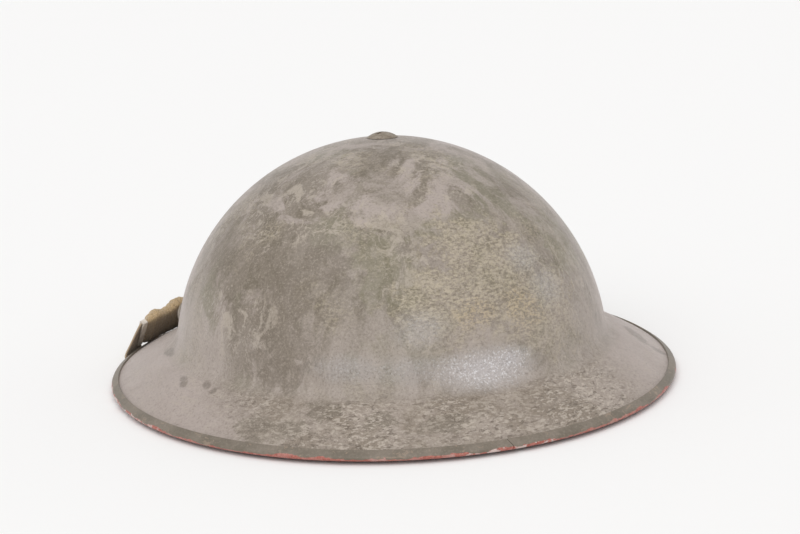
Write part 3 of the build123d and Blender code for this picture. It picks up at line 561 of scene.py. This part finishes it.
def make_fastener_paint():
    """Paint carried over the screw and rivet heads, rubbed brown on top."""
    material, shader, place = new_finish("painted-over fasteners")
    cloud = noise(place, 0.25, 4, 0.6)
    fine = noise(place, 1.4, 3, 0.65)
    colour = coat(between(cloud, 0.4, 0.62), (0.205, 0.165, 0.12), (0.29, 0.245, 0.195))
    bare = use(FLAKES, place, 3.0, 0.52, 0.06)["mask"]
    colour = coat(bare, colour, (0.15, 0.105, 0.075), 0.7)
    colour = coat(between(fine, 0.55, 0.72, 0, 0.5), colour, (0.42, 0.37, 0.3))
    dress(shader, colour, between(cloud, 0.3, 0.7, 0.42, 0.6), fine, strength=0.4, depth=0.25)
    return material


# ---------------------------------------------------------------- bare metal

def make_steel(name, light, dark, rust, metallic, rough_low, rough_high, rust_start):
    """Dull steel with grey tarnish, fine scratches and rust in spots."""
    material, shader, place = new_finish(name)
    cloud = noise(place, 0.2, 5, 0.65)
    fine = noise(place, 1.8, 4, 0.7)
    colour = coat(between(cloud, 0.35, 0.65), light, dark)
    colour = coat(between(fine, 0.5, 0.7, 0, 0.4), colour, dark)
    spots = use(FLAKES, place, 4.0, rust_start, 0.1)["mask"]
    colour = coat(spots, colour, rust)
    shine = minus(metallic, times(spots, metallic * 0.85))
    roughness = plus(between(cloud, 0.3, 0.7, rough_low, rough_high), times(spots, 0.25))
    relief = plus(fine, spots)
    dress(shader, colour, roughness, relief, strength=0.25, depth=0.12, also={"Metallic": shine})
    return material


# ---------------------------------------------------------------- cloth and the rest

def make_webbing(name, light, dark, soil_and_shade_colour, stripes):
    """Woven cotton strap. The piece's own UV map runs across in U and along in V, in millimetres."""
    material, shader, place = new_finish(name)
    strap = put(place.id_data, "ShaderNodeUVMap", uv_map="strap").outputs[0]
    split = xyz(strap)
    across = times(split[0], 1.1)
    along = times(split[1], 1.5)
    threads = use(WEAVE, along, across)
    slub = noise(strap, 0.9, 3, 0.6)
    colour = coat(between(slub, 0.35, 0.65), dark, light)
    colour = coat(threads["gap"], colour, (0.1, 0.07, 0.04), 0.65)
    if stripes:
        bar = sums("ABSOLUTE", minus(split[0], 9.5))
        edge = between(bar, 7.2, 8.4)
        colour = coat(edge, colour, dark, 0.35)
    soil = use(SOIL, place, 0.28)["mask"]
    colour = coat(soil, colour, soil_and_shade_colour, 0.8)
    # Painted shade: faces turned downwards are darkened with the soil colour
    way = put(place.id_data, "ShaderNodeNewGeometry").outputs["Normal"]
    under = between(xyz(way)[2], 0.35, -0.6)
    colour = coat(under, colour, soil_and_shade_colour, 0.66)
    nap = {"Sheen Weight": 0.35, "Sheen Roughness": 0.5, "Specular IOR Level": 0.25}
    dress(shader, colour, 0.86, threads["height"], strength=0.7, depth=0.35, also=nap)
    return material


def make_felt():
    """Grey-brown felt, matted and stained."""
    material, shader, place = new_finish("matted felt")
    fuzz = noise(place, 0.9, 8, 0.75, 1.5)
    cloud = noise(place, 0.06, 4, 0.6)
    colour = coat(between(fuzz, 0.35, 0.65), (0.165, 0.14, 0.105), (0.3, 0.262, 0.205))
    colour = coat(between(cloud, 0.45, 0.65, 0, 0.6), colour, (0.125, 0.098, 0.066))
    nap = {"Sheen Weight": 0.5, "Specular IOR Level": 0.15}
    dress(shader, colour, 0.95, fuzz, strength=0.8, depth=0.5, also=nap)
    return material


def make_oilcloth():
    """Black coated cloth: low sheen, fine crazing, rubbed brown on its folds."""
    material, shader, place = new_finish("black oilcloth")
    crazing = cracks_between_cells(place, 0.55, 0.05)
    cloud = noise(place, 0.05, 5, 0.6)
    fine = noise(place, 1.5, 3, 0.6)
    colour = coat(between(cloud, 0.4, 0.65), (0.026, 0.024, 0.021), (0.06, 0.052, 0.042))
    colour = coat(crazing, colour, (0.13, 0.1, 0.07), 0.5)
    rubbed = use(FLAKES, place, 14.0, 0.54, 0.12)["mask"]
    colour = coat(rubbed, colour, (0.17, 0.13, 0.09), 0.55)
    roughness = plus(between(cloud, 0.3, 0.7, 0.36, 0.5), times(rubbed, 0.2))
    relief = minus(times(fine, 0.5), times(crazing, 0.5))
    dress(shader, colour, roughness, relief, strength=0.35, depth=0.2)
    return material


def make_fibre():
    """Dark pressed fibre board."""
    material, shader, place = new_finish("pressed fibre")
    strands = stretched(place, (0.35, 0.35, 2))
    grain = noise(strands, 0.8, 6, 0.7, 0.8)
    cloud = noise(place, 0.05, 4, 0.6)
    colour = coat(between(grain, 0.35, 0.65), (0.09, 0.052, 0.03), (0.19, 0.118, 0.068))
    colour = coat(between(cloud, 0.45, 0.65, 0, 0.5), colour, (0.06, 0.038, 0.024))
    dress(shader, colour, between(grain, 0.3, 0.7, 0.5, 0.68), grain, strength=0.35, depth=0.2)
    return material


def make_rubber():
    """Aged black rubber with a grey bloom."""
    material, shader, place = new_finish("aged rubber")
    cloud = noise(place, 0.18, 5, 0.62)
    fine = noise(place, 1.6, 3, 0.6)
    colour = coat(between(cloud, 0.42, 0.66), (0.02, 0.019, 0.018), (0.085, 0.08, 0.072))
    cracks = cracks_between_cells(place, 0.4, 0.035)
    colour = coat(cracks, colour, (0.006, 0.006, 0.006), 0.6)
    relief = minus(times(fine, 0.4), times(cracks, 0.6))
    dress(shader, colour, between(cloud, 0.3, 0.7, 0.6, 0.8), relief, strength=0.4, depth=0.25)
    return material


def make_lace_cotton():
    """Braided cotton cord. The piece's UV map runs round in U and along in V, in millimetres."""
    material, shader, place = new_finish("braided lace")
    cord = put(place.id_data, "ShaderNodeUVMap", uv_map="strap").outputs[0]
    split = xyz(cord)
    left = plus(times(split[0], 0.85), times(split[1], 0.7))
    right = minus(times(split[0], 0.85), times(split[1], 0.7))
    threads = use(WEAVE, left, right)
    soil = use(SOIL, place, 0.45)["mask"]
    colour = coat(threads["gap"], (0.46, 0.38, 0.26), (0.16, 0.12, 0.07))
    colour = coat(soil, colour, (0.2, 0.15, 0.09), 0.7)
    dress(shader, colour, 0.85, threads["height"], strength=0.7, depth=0.3, also={"Sheen Weight": 0.3})
    return material


# Steel finishes: light, dark and rust colours, how metallic, roughness from and to, and rust's start
SLOTS = {
    "shell_paint": make_shell_paint(),
    "rim_paint": make_rim_paint(),
    "fastener_paint": make_fastener_paint(),
    "band_steel": make_steel(
        "dull band steel", (0.36, 0.35, 0.33), (0.17, 0.165, 0.155), (0.13, 0.06, 0.028),
        0.9, 0.38, 0.55, 0.54
    ),
    "fitting_steel": make_steel(
        "dull plated fittings", (0.62, 0.6, 0.55), (0.42, 0.4, 0.36), (0.3, 0.18, 0.1), 0.8, 0.32, 0.5, 0.58
    ),
    "spring_steel": make_steel(
        "spring wire", (0.46, 0.45, 0.43), (0.22, 0.21, 0.2), (0.18, 0.09, 0.05), 0.95, 0.3, 0.45, 0.57
    ),
    "rivet_brass": make_steel(
        "tarnished brass", (0.56, 0.4, 0.17), (0.3, 0.2, 0.09), (0.12, 0.09, 0.05), 0.9, 0.34, 0.52, 0.55
    ),
    "webbing": make_webbing(
        "plain tan webbing", (0.56, 0.45, 0.32), (0.45, 0.35, 0.24), (0.2, 0.15, 0.1), stripes=True
    ),
    "sleeve_cloth": make_webbing(
        "gathered sleeve cloth", (0.7, 0.52, 0.31), (0.43, 0.3, 0.155), (0.07, 0.048, 0.032), stripes=False
    ),
    "fibre": make_fibre(),
    "rubber": make_rubber(),
    "felt": make_felt(),
    "oilcloth": make_oilcloth(),
    "lace": make_lace_cotton(),
}
FERRULE_TIN = make_steel(
    "tinned ferrules", (0.76, 0.7, 0.62), (0.58, 0.52, 0.46), (0.3, 0.2, 0.12), 0.15, 0.45, 0.62, 0.62
)


def finish_cad_nodes():
    """Every carried-over node gets the finish of its slot; the crimps get the tinned ferrule finish instead.
    """
    for part in frame["record"]["subparts"]:
        node = nodes[part["node"]]
        node.data.materials.clear()
        finish = FERRULE_TIN if "crimp" in part["node"] else SLOTS[part["material_slot"]]
        node.data.materials.append(finish)


# ---------------------------------------------------------------- soft pieces laid one by one

def even_rows(rows, steps):
    """More rows on a smooth line through the given ones."""
    fine = []
    count = len(rows)
    for place in range(count - 1):
        around = [rows[max(place - 1, 0)], rows[place], rows[place + 1], rows[min(place + 2, count - 1)]]
        for step in range(steps):
            t = step / steps
            weights = (
                (-t + 2 * t * t - t**3) / 2,
                (2 - 5 * t * t + 3 * t**3) / 2,
                (t + 4 * t * t - 3 * t**3) / 2,
                (-t * t + t**3) / 2,
            )
            fine.append([sum((Vector(r[k]) * w for r, w in zip(around, weights)), Vector()) for k in (0, 1)])
    fine.append([Vector(rows[-1][0]), Vector(rows[-1][1])])
    return fine


def pick(*pieces):
    """Selects pieces, the first of them active."""
    bpy.ops.object.select_all(action="DESELECT")
    for piece in pieces:
        piece.select_set(True)
    bpy.context.view_layer.objects.active = pieces[0]


def work_mesh(tool, **settings):
    """One mesh tool on the whole active piece."""
    bpy.ops.object.mode_set(mode="EDIT")
    bpy.ops.mesh.select_all(action="SELECT")
    tool(**settings)
    bpy.ops.object.mode_set(mode="OBJECT")


def shade(degrees):
    bpy.ops.object.shade_smooth_by_angle(angle=math.radians(degrees))


def cloth_grid(name, columns, rows, lay, closed=False):
    """A grid of cloth laid by a rule. lay(u, v) gives a point and its place on the cloth, in millimetres."""
    bpy.ops.mesh.primitive_grid_add(x_subdivisions=columns, y_subdivisions=rows, size=2)
    piece = bpy.context.object
    piece.name = name
    mesh = piece.data
    shares = [((v.co.x + 1) / 2, (v.co.y + 1) / 2) for v in mesh.vertices]
    laid = [lay(u, v) for u, v in shares]
    mesh.uv_layers[0].name = "strap"
    strap = mesh.uv_layers["strap"].data
    for loop in mesh.loops:
        strap[loop.index].uv = laid[loop.vertex_index][1]
    for vertex, (point, _) in zip(mesh.vertices, laid):
        vertex.co = Vector(point) * MM
    if closed:
        work_mesh(bpy.ops.mesh.remove_doubles, threshold=0.02 * MM)
    return piece


def apply_all(piece):
    pick(piece)
    for modifier in list(piece.modifiers):
        bpy.ops.object.modifier_apply(modifier=modifier.name)


def thicken(piece, thickness, rounded=False):
    """Gives a laid cloth its thickness in millimetres, rounds it where asked and shades it."""
    wall = piece.modifiers.new("cloth thickness", "SOLIDIFY")
    wall.thickness = thickness * MM
    wall.offset = 0
    if rounded:
        soft = piece.modifiers.new("soft edges", "SUBSURF")
        soft.levels = soft.render_levels = 1
    apply_all(piece)
    work_mesh(bpy.ops.mesh.normals_make_consistent, inside=False)
    shade(60)


def cover(piece, slot_name):
    piece.data.materials.clear()
    piece.data.materials.append(SLOTS[slot_name])
    return piece


def join(*pieces):
    pick(*pieces)
    bpy.ops.object.join()
    return pieces[0]


def mirrored(piece, name):
    """The wearer's right-hand copy, with its own mesh and its faces turned the right way."""
    twin = piece.copy()
    twin.data = piece.data.copy()
    twin.name = name
    bpy.context.scene.collection.objects.link(twin)
    twin.data.transform(Matrix.Diagonal((-1, 1, 1, 1)))
    twin.data.flip_normals()
    return twin


# Rows of the left strap end, in millimetres: middle of the strap and half its width
END_ROWS = [
    ((109.4, -32.6, 10.9), (2.5, 9.2, 0.0)),
    ((110.2, -37.5, 9.9), (3.6, 8.8, -0.4)),
    ((112.5, -48.2, 7.6), (5.2, 8.0, -0.8)),
    ((115.7, -63.7, 4.7), (5.8, 8.4, -0.5)),
    ((118.3, -76.7, 2.1), (6.0, 9.3, 0.0)),
    ((119.9, -84.2, 0.75), (6.2, 9.6, 0.0)),
    ((121.3, -85.4, 1.3), (6.2, 9.6, 0.0)),
    ((121.95, -85.8, 3.1), (6.2, 9.6, 0.1)),
    ((121.6, -85.5, 4.9), (5.8, 9.4, 0.6)),
    ((121.0, -84.5, 7.0), (4.3, 8.8, 2.2)),
    ((120.5, -83.1, 9.4), (2.4, 7.9, 4.2)),
    ((120.0, -81.6, 11.9), (0.6, 6.9, 5.9)),
    ((119.3, -80.5, 14.2), (-0.9, 6.3, 7.1)),
    ((116.8, -81.55, 14.9), (-0.9, 6.3, 7.1)),
]
LOOP_BAR = Vector((109.39, -32.62, 13.25))
BAR_WAY = Vector((0.26473, 0.96432, 0.0))
BAR_OUT = Vector((0.96432, -0.26473, 0.0))
UP = Vector((0, 0, 1))
STRAP_WIDTH = 19.0
STRAP_SHEET = 1.3
CLOTH_SHEET = 0.7

SLEEVE_START = Vector((116.173, -81.848, 15.055))
SLEEVE_WAY = Vector((-0.888305, -0.39391, 0.236111))
SLEEVE_ACROSS = Vector((-0.095224, 0.660926, 0.744385))
SLEEVE_FACE = SLEEVE_ACROSS.cross(SLEEVE_WAY)
SLEEVE_LENGTH = 72.0


def lay_on_rows(rows, sag=0.0):
    """Rule that lays a strap on rows, with UV in millimetres across and along."""
    reach = [0.0]
    for before, after in zip(rows, rows[1:]):
        reach.append(reach[-1] + (after[0] - before[0]).length)
    last = len(rows) - 1

    def lay(u, v):
        spot = v * last
        low = min(int(spot), last - 1)
        t = spot - low
        centre = rows[low][0].lerp(rows[low + 1][0], t)
        half = rows[low][1].lerp(rows[low + 1][1], t)
        travel = (rows[low + 1][0] - rows[low][0]).normalized()
        face = half.cross(travel).normalized()
        side = 2 * u - 1
        point = centre + half * side + face * (sag * (1 - side * side))
        return point, (u * STRAP_WIDTH, reach[low] + (reach[low + 1] - reach[low]) * t)

    return lay


def make_strap_end():
    """Plain end of the strap: sewn round the loop's bar, led under and over the rim to the ferrule."""
    columns = 12
    rows = even_rows(END_ROWS, 6)
    run = cloth_grid("strap_end_left", columns, len(rows) - 1, lay_on_rows(rows, 0.1))
    radius = 2.3

    def round_bar(u, v):
        turn = math.tau * v
        side = (2 * u - 1) * STRAP_WIDTH / 2
        out = BAR_OUT * (math.sin(turn) * radius) - UP * (math.cos(turn) * radius)
        return LOOP_BAR + out + BAR_WAY * side, (u * STRAP_WIDTH, turn * radius)

    ring = cloth_grid("strap_ring_left", columns, 28, round_bar, closed=True)
    sewn_rows = [
        [LOOP_BAR + BAR_OUT * 2.2 - UP, BAR_WAY * 9.4],
        [LOOP_BAR + BAR_OUT * 1.6 - UP * 3.6 - BAR_WAY, BAR_WAY * 9.2],
        [LOOP_BAR + BAR_OUT * 0.2 - UP * 4.8 - BAR_WAY * 6, Vector((4.4, 8.2, -0.6))],
        [LOOP_BAR - BAR_OUT * 1.2 - UP * 6 - BAR_WAY * 13, Vector((5.4, 7.8, -1.0))],
    ]
    fine = even_rows(sewn_rows, 5)
    sewn = cloth_grid("strap_fold_left", columns, len(fine) - 1, lay_on_rows(fine, 0.2))
    for piece in (run, ring, sewn):
        thicken(piece, STRAP_SHEET, rounded=True)
    return cover(join(run, ring, sewn), "webbing")


def make_sleeve():
    """Gathered sleeve: soft humps and puckers over the springs, its lower edge spread on the brim."""
    hump_places = (8.0, 23.5, 38.0, 51.0, 63.5)
    hump_reach = 5.4
    half_width, half_height = 8.9, 2.9
    squareness = 0.78
    columns, rows = 64, 200
    round_cloth, gathering = 46.0, 1.5
    chance = random.Random(5)
    humps = [(place, chance.uniform(0.95, 1.35)) for place in hump_places]
    phases = [chance.uniform(0, math.tau) for _ in range(6)]

    def pucker_at(along, turn):
        """Fine gathers that run round the sleeve and wander."""
        bend = 2.2 * math.sin(along * 0.33 + phases[0]) + 0.9 * math.sin(turn + phases[1])
        sway = 1.6 * math.sin(along * 0.5 + phases[2]) + 1.2 * math.sin(2 * turn + phases[3])
        creep = phases[4] + 2.0 * math.sin(3 * turn + phases[5])
        gathers = ((0.46, 1.45, bend), (0.34, 3.4, sway), (0.10, 7.1, creep))
        return sum(height * math.sin(along * pace + phase) for height, pace, phase in gathers)

    def lay(u, v):
        along = SLEEVE_LENGTH * v
        turn = math.tau * u
        c, s = math.cos(turn), math.sin(turn)
        lower, inner, outer = max(0.0, -c), max(0.0, -s), s > 0
        end = min(v, 1 - v)
        swell = sum(size * math.exp(-((along - at) / hump_reach) ** 2) for at, size in humps)
        pinch = min(1.0, 0.6 + 0.4 * end * 16)
        wide_now = (half_width + (1.9 if c > 0 else 0.35) * swell) * (0.92 + 0.08 * pinch)
        thick_now = (half_height + (1.9 if outer else 0.15) * swell) * pinch
        shake = pucker_at(along, turn) * (1.0 if outer else 0.25) * min(1.0, 20 * end)
        wide = math.copysign(abs(c) ** squareness, c) * (wide_now + shake * 0.7)
        thick = math.copysign(abs(s) ** squareness, s) * (thick_now + shake)

        # The lower edge is spread on the brim, drops a little and is tucked in under the springs
        foot = lower**1.5 * 3.6 * min(1.0, v * 12) * max(0.0, 1 - max(0.0, v - 0.55) * 3.0)
        drop = min(1.0, max(0.0, (v - 0.12) * 2.2)) * min(1.0, (1 - v) * 12)
        tuck = lower * inner * min(1.0, (1 - v) * 12, 0.35 + v * 40)
        wide -= 0.904 * foot + 2.2 * lower * drop + 2.4 * tuck
        thick += 0.428 * foot + 0.4 * foot * max(0.0, s) - 1.2 * tuck
        point = SLEEVE_START + SLEEVE_WAY * along + SLEEVE_ACROSS * wide + SLEEVE_FACE * thick
        return point, (u * round_cloth, along * gathering)

    piece = cloth_grid("sprung_sleeve_cover_left", columns, rows, lay, closed=True)
    thicken(piece, CLOTH_SHEET)
    return cover(piece, "sleeve_cloth")


CENTRE_ROWS = [
    ((51.5, -110.5, 32.2), (-0.9, 6.3, 7.1)),
    ((49.5, -111.4, 32.8), (-0.9, 6.3, 7.1)),
    ((35.3, -112.5, 36.2), (-0.7, 4.2, 8.3)),
    ((21.0, -113.1, 38.0), (-0.5, 2.4, 9.2)),
    ((13.6, -114.1, 38.0), (-0.3, 2.4, 9.2)),
    ((6.7, -114.8, 38.0), (-0.2, 2.5, 9.2)),
    ((0.0, -115.0, 38.0), (0.0, 2.5, 9.2)),
]


def make_centre():
    """Plain middle of the strap, bent round the front of the bowl."""
    other = [((-c[0], c[1], c[2]), (-h[0], h[1], h[2])) for c, h in reversed(CENTRE_ROWS[:-1])]
    rows = even_rows(CENTRE_ROWS + other, 6)
    piece = cloth_grid("centre_strap", 12, len(rows) - 1, lay_on_rows(rows, 0.15))
    thicken(piece, STRAP_SHEET, rounded=True)
    return cover(piece, "webbing")


def oval_point(radius, turn, height):
    return Vector((radius * WIDE * math.cos(turn), radius * LONG * math.sin(turn), height))


def bezier(points, t):
    a, b, c = (Vector(p) for p in points)
    return a * (1 - t) ** 2 + b * (2 * t * (1 - t)) + c * t * t


def make_head_cover():
    """Coated cloth folded under the liner band, with slight gathers on its inner face."""
    profile = [
        (95.45, 48.6), (95.4, 42.0), (95.4, 34.0), (95.4, 27.0), (95.5, 24.4), (96.2, 23.3),
        (97.6, 23.2), (98.8, 23.3), (99.4, 24.2), (99.45, 27.0), (99.45, 31.6),
    ]
    columns, rows = 320, 24
    mean_radius, cloth_depth, cloth_sheet = 97, 44, 0.95
    last = len(profile) - 1

    def lay(u, v):
        turn = math.tau * u
        low = min(int(v * last), last - 1)
        radius, height = Vector(profile[low]).lerp(Vector(profile[low + 1]), v * last - low)
        ripple = 0.32 * math.sin(turn * 41 + 1.3 * math.sin(turn * 5)) + 0.22 * math.sin(turn * 67)
        radius += ripple * max(0.0, 1 - v * 2.2) - 0.1
        height += 0.35 * math.sin(turn * 9 + 0.7) * (1 - v) ** 4
        return oval_point(radius, turn, height), (turn * mean_radius, v * cloth_depth)

    piece = cloth_grid("head_cover_cloth", columns, rows, lay, closed=True)
    thicken(piece, cloth_sheet)
    return cover(piece, "oilcloth")


TONGUE_COUNT = 8
TIP_RADIUS = 45.0
TIP_HEIGHT = 83.55
# Radius and height of a tongue's foot, of the shoulder that bends it, and of its tip
TONGUE_LINE = ((94.3, 45.6, 0), (94.3, 82.4, 0), (46.6, 83.6, 0))
TONGUE_LENGTH = 78
HEM_RADIUS = 2.2
HEM_LENGTH = 9.6
KNOT_TURN = math.radians(67.5)


def make_tongue(number):
    """One tongue, sagging a little between its edges, with a hem rolled round the lace."""
    middle = math.tau * (number - 1) / TONGUE_COUNT
    spread = math.tan(math.pi / TONGUE_COUNT)
    root = 106.9
    root_half = root * spread * 0.93
    tip_reach = 38.0
    tip_half = TIP_RADIUS * spread * 0.56
    flat_share = 0.8
    columns, rows = 28, 44

    def lay(u, v):
        side = 2 * u - 1
        if v <= flat_share:
            t = v / flat_share
            radius, height, _ = bezier(TONGUE_LINE, t)
            along = t * TONGUE_LENGTH
            height += 0.7 * (1 - side * side) * math.sin(math.pi * t)
            height += 0.3 * math.sin(side * 9 + number) * min(1.0, max(0.0, (v - 0.45) * 3))
        else:
            roll = (v - flat_share) / (1 - flat_share)
            turn = math.radians(90 + 250 * roll)
            radius = TIP_RADIUS + HEM_RADIUS * math.cos(turn) + 0.05
            height = TIP_HEIGHT + HEM_RADIUS * math.sin(turn)
            along = TONGUE_LENGTH + roll * HEM_LENGTH
        share = (radius - tip_reach) / (root - tip_reach)
        half = (tip_half + share * (root_half - tip_half)) * 0.985
        half *= 1 - 0.05 * max(0.0, (v - 0.7) / 0.3) ** 2
        turn = middle + math.atan2(side * half, radius)
        return oval_point(radius, turn, height), (side * half, along)

    piece = cloth_grid(f"tongue_cloth_{number}", columns, rows, lay)
    thicken(piece, CLOTH_SHEET)
    cover(piece, "oilcloth")
    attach(piece, "helmet")
    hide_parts(f"tongue_{number}")
    return piece


def cord_tube(name, points, radius, closed):
    """Round cord on a smooth line, as a laid grid so that its UV map runs along it."""
    count = len(points)
    ways = []
    for place in range(count):
        before = points[place - 1] if closed else points[max(place - 1, 0)]
        after = points[(place + 1) % count] if closed else points[min(place + 1, count - 1)]
        ways.append((after - before).normalized())
    reach = [0.0]
    for before, after in zip(points, points[1:] + points[:1]):
        reach.append(reach[-1] + (after - before).length)
    steps = count if closed else count - 1

    def lay(u, v):
        place = round(v * steps)
        spot = place % count
        way = ways[spot]
        side = way.cross(UP)
        side = side.normalized() if side.length > 0.01 else Vector((1, 0, 0))
        rise = way.cross(side)
        turn = math.tau * u
        point = points[spot] + side * (radius * math.cos(turn)) + rise * (radius * math.sin(turn))
        return point, (turn * radius, reach[place])

    piece = cloth_grid(name, 14, steps, lay, closed=True)
    if not closed:
        bpy.ops.object.mode_set(mode="EDIT")
        bpy.ops.mesh.select_all(action="DESELECT")
        bpy.ops.mesh.select_mode(type="EDGE")
        bpy.ops.mesh.select_non_manifold()
        bpy.ops.mesh.edge_face_add()
        bpy.ops.object.mode_set(mode="OBJECT")
    work_mesh(bpy.ops.mesh.normals_make_consistent, inside=False)
    shade(60)
    return piece


def make_lace():
    """Lace through the hems of the tongues, its overhand knot and two soft tails."""
    steps, knot_steps, tail_steps = 160, 36, 24
    ring = []
    for k in range(steps):
        height = TIP_HEIGHT + 0.12 * math.sin(k * 0.7)
        ring.append(oval_point(TIP_RADIUS, math.tau * k / steps, height))
    loop = cord_tube("lace", ring, 1.5, True)
    place = oval_point(TIP_RADIUS, KNOT_TURN, TIP_HEIGHT)
    parts = []
    for tilt, size in ((0.5, 1.0), (-0.6, 0.92)):
        turns = []
        for k in range(knot_steps):
            a = math.tau * k / knot_steps
            way = (1.75 * size * math.cos(a), 0.9 * math.sin(a) * tilt, 1.5 * size * math.sin(a))
            turns.append(place + Vector(way))
        parts.append(cord_tube("lace knot", turns, 1.15, True))
    tail_reach, tail_drop = 25.2, 6.5
    for side, lift in ((-1, -1.2), (1, -0.6)):
        turn = KNOT_TURN + side * math.radians(24)
        way = Vector((-math.cos(turn), -math.sin(turn), 0))
        bow = Vector((-way.y, way.x, 0)) * side
        tail = []
        for k in range(tail_steps + 1):
            s = k / tail_steps
            curve = math.sin(s * math.pi)
            drop = -tail_drop * s - lift * 1.4 * curve
            tail.append(place + way * (tail_reach * s) + bow * (1.6 * curve) + UP * drop)
        parts.append(cord_tube("lace tail", tail, 1.4, False))
    piece = join(loop, *parts)
    piece.name = "lace_cord"
    cover(piece, "lace")
    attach(piece, "helmet")
    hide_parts("draw_lace")
    return piece


def copy_of(node_name, name):
    """Own mesh with the shape of a CAD node, its loose triangles merged."""
    source = nodes[node_name]
    piece = source.copy()
    piece.data = source.data.copy()
    piece.name = name
    piece.parent = None
    for key in list(piece.keys()):
        del piece[key]
    piece.matrix_world = Matrix.Identity(4)
    bpy.context.scene.collection.objects.link(piece)
    pick(piece)
    work_mesh(bpy.ops.mesh.remove_doubles, threshold=0.005 * MM)
    return piece


def make_soft_block(node_name, name, voxel, puff):
    """Felt piece: the node's shape, remeshed, softened and slightly lumpy."""
    piece = copy_of(node_name, name)
    remesh = piece.modifiers.new("even mesh", "REMESH")
    remesh.mode = "VOXEL"
    remesh.voxel_size = voxel * MM
    soften = piece.modifiers.new("soft corners", "SMOOTH")
    soften.iterations = 6
    soften.factor = 0.5
    lumps = bpy.data.textures.new(name, "CLOUDS")
    lumps.noise_scale = 0.012
    swell = piece.modifiers.new("lumps", "DISPLACE")
    swell.texture = lumps
    swell.texture_coords = "LOCAL"
    swell.strength = puff * MM
    swell.mid_level = 0.6
    apply_all(piece)
    shade(70)
    cover(piece, "felt")
    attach(piece, "helmet")
    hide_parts(node_name)
    return piece


def make_springs():
    """Copies of the coil springs, each with its transform baked in."""
    for place in ("upper", "lower"):
        for side, flip in SIDES:
            node = f"{place}_spring_{side}"
            piece = copy_of(node, f"{place}_coil_{side}")
            shade(60)
            cover(piece, "spring_steel")
            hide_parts(node)
            stretch_between(piece, flip)


def stretch_between(piece, flip):
    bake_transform(piece)


# ---------------------------------------------------------------- putting it together

set_camera()
set_light()
set_floor()
finish_cad_nodes()

strap_end = make_strap_end()
strap_end_right = mirrored(strap_end, "strap_end_right")
for piece, (side, flip) in zip((strap_end, strap_end_right), SIDES):
    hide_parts(f"strap_end_webbing_{side}")
    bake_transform(piece)

sleeve = make_sleeve()
sleeve_right = mirrored(sleeve, "sprung_sleeve_cover_right")
for piece, (side, flip) in zip((sleeve, sleeve_right), SIDES):
    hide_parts(f"sprung_sleeve_{side}")
    stretch_between(piece, flip)

centre = make_centre()
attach(centre, "strap_front")
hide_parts("centre_webbing")

cover_cloth = make_head_cover()
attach(cover_cloth, "helmet")
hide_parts("head_cover")
for number in range(1, TONGUE_COUNT + 1):
    make_tongue(number)
make_lace()
pad = make_soft_block("crown_pad", "crown_pad_felt", 1.6, 0.9)
make_soft_block("crown_spacer", "crown_spacer_felt", 1.0, 0.3)
make_springs()
bpy.ops.object.select_all(action="DESELECT")
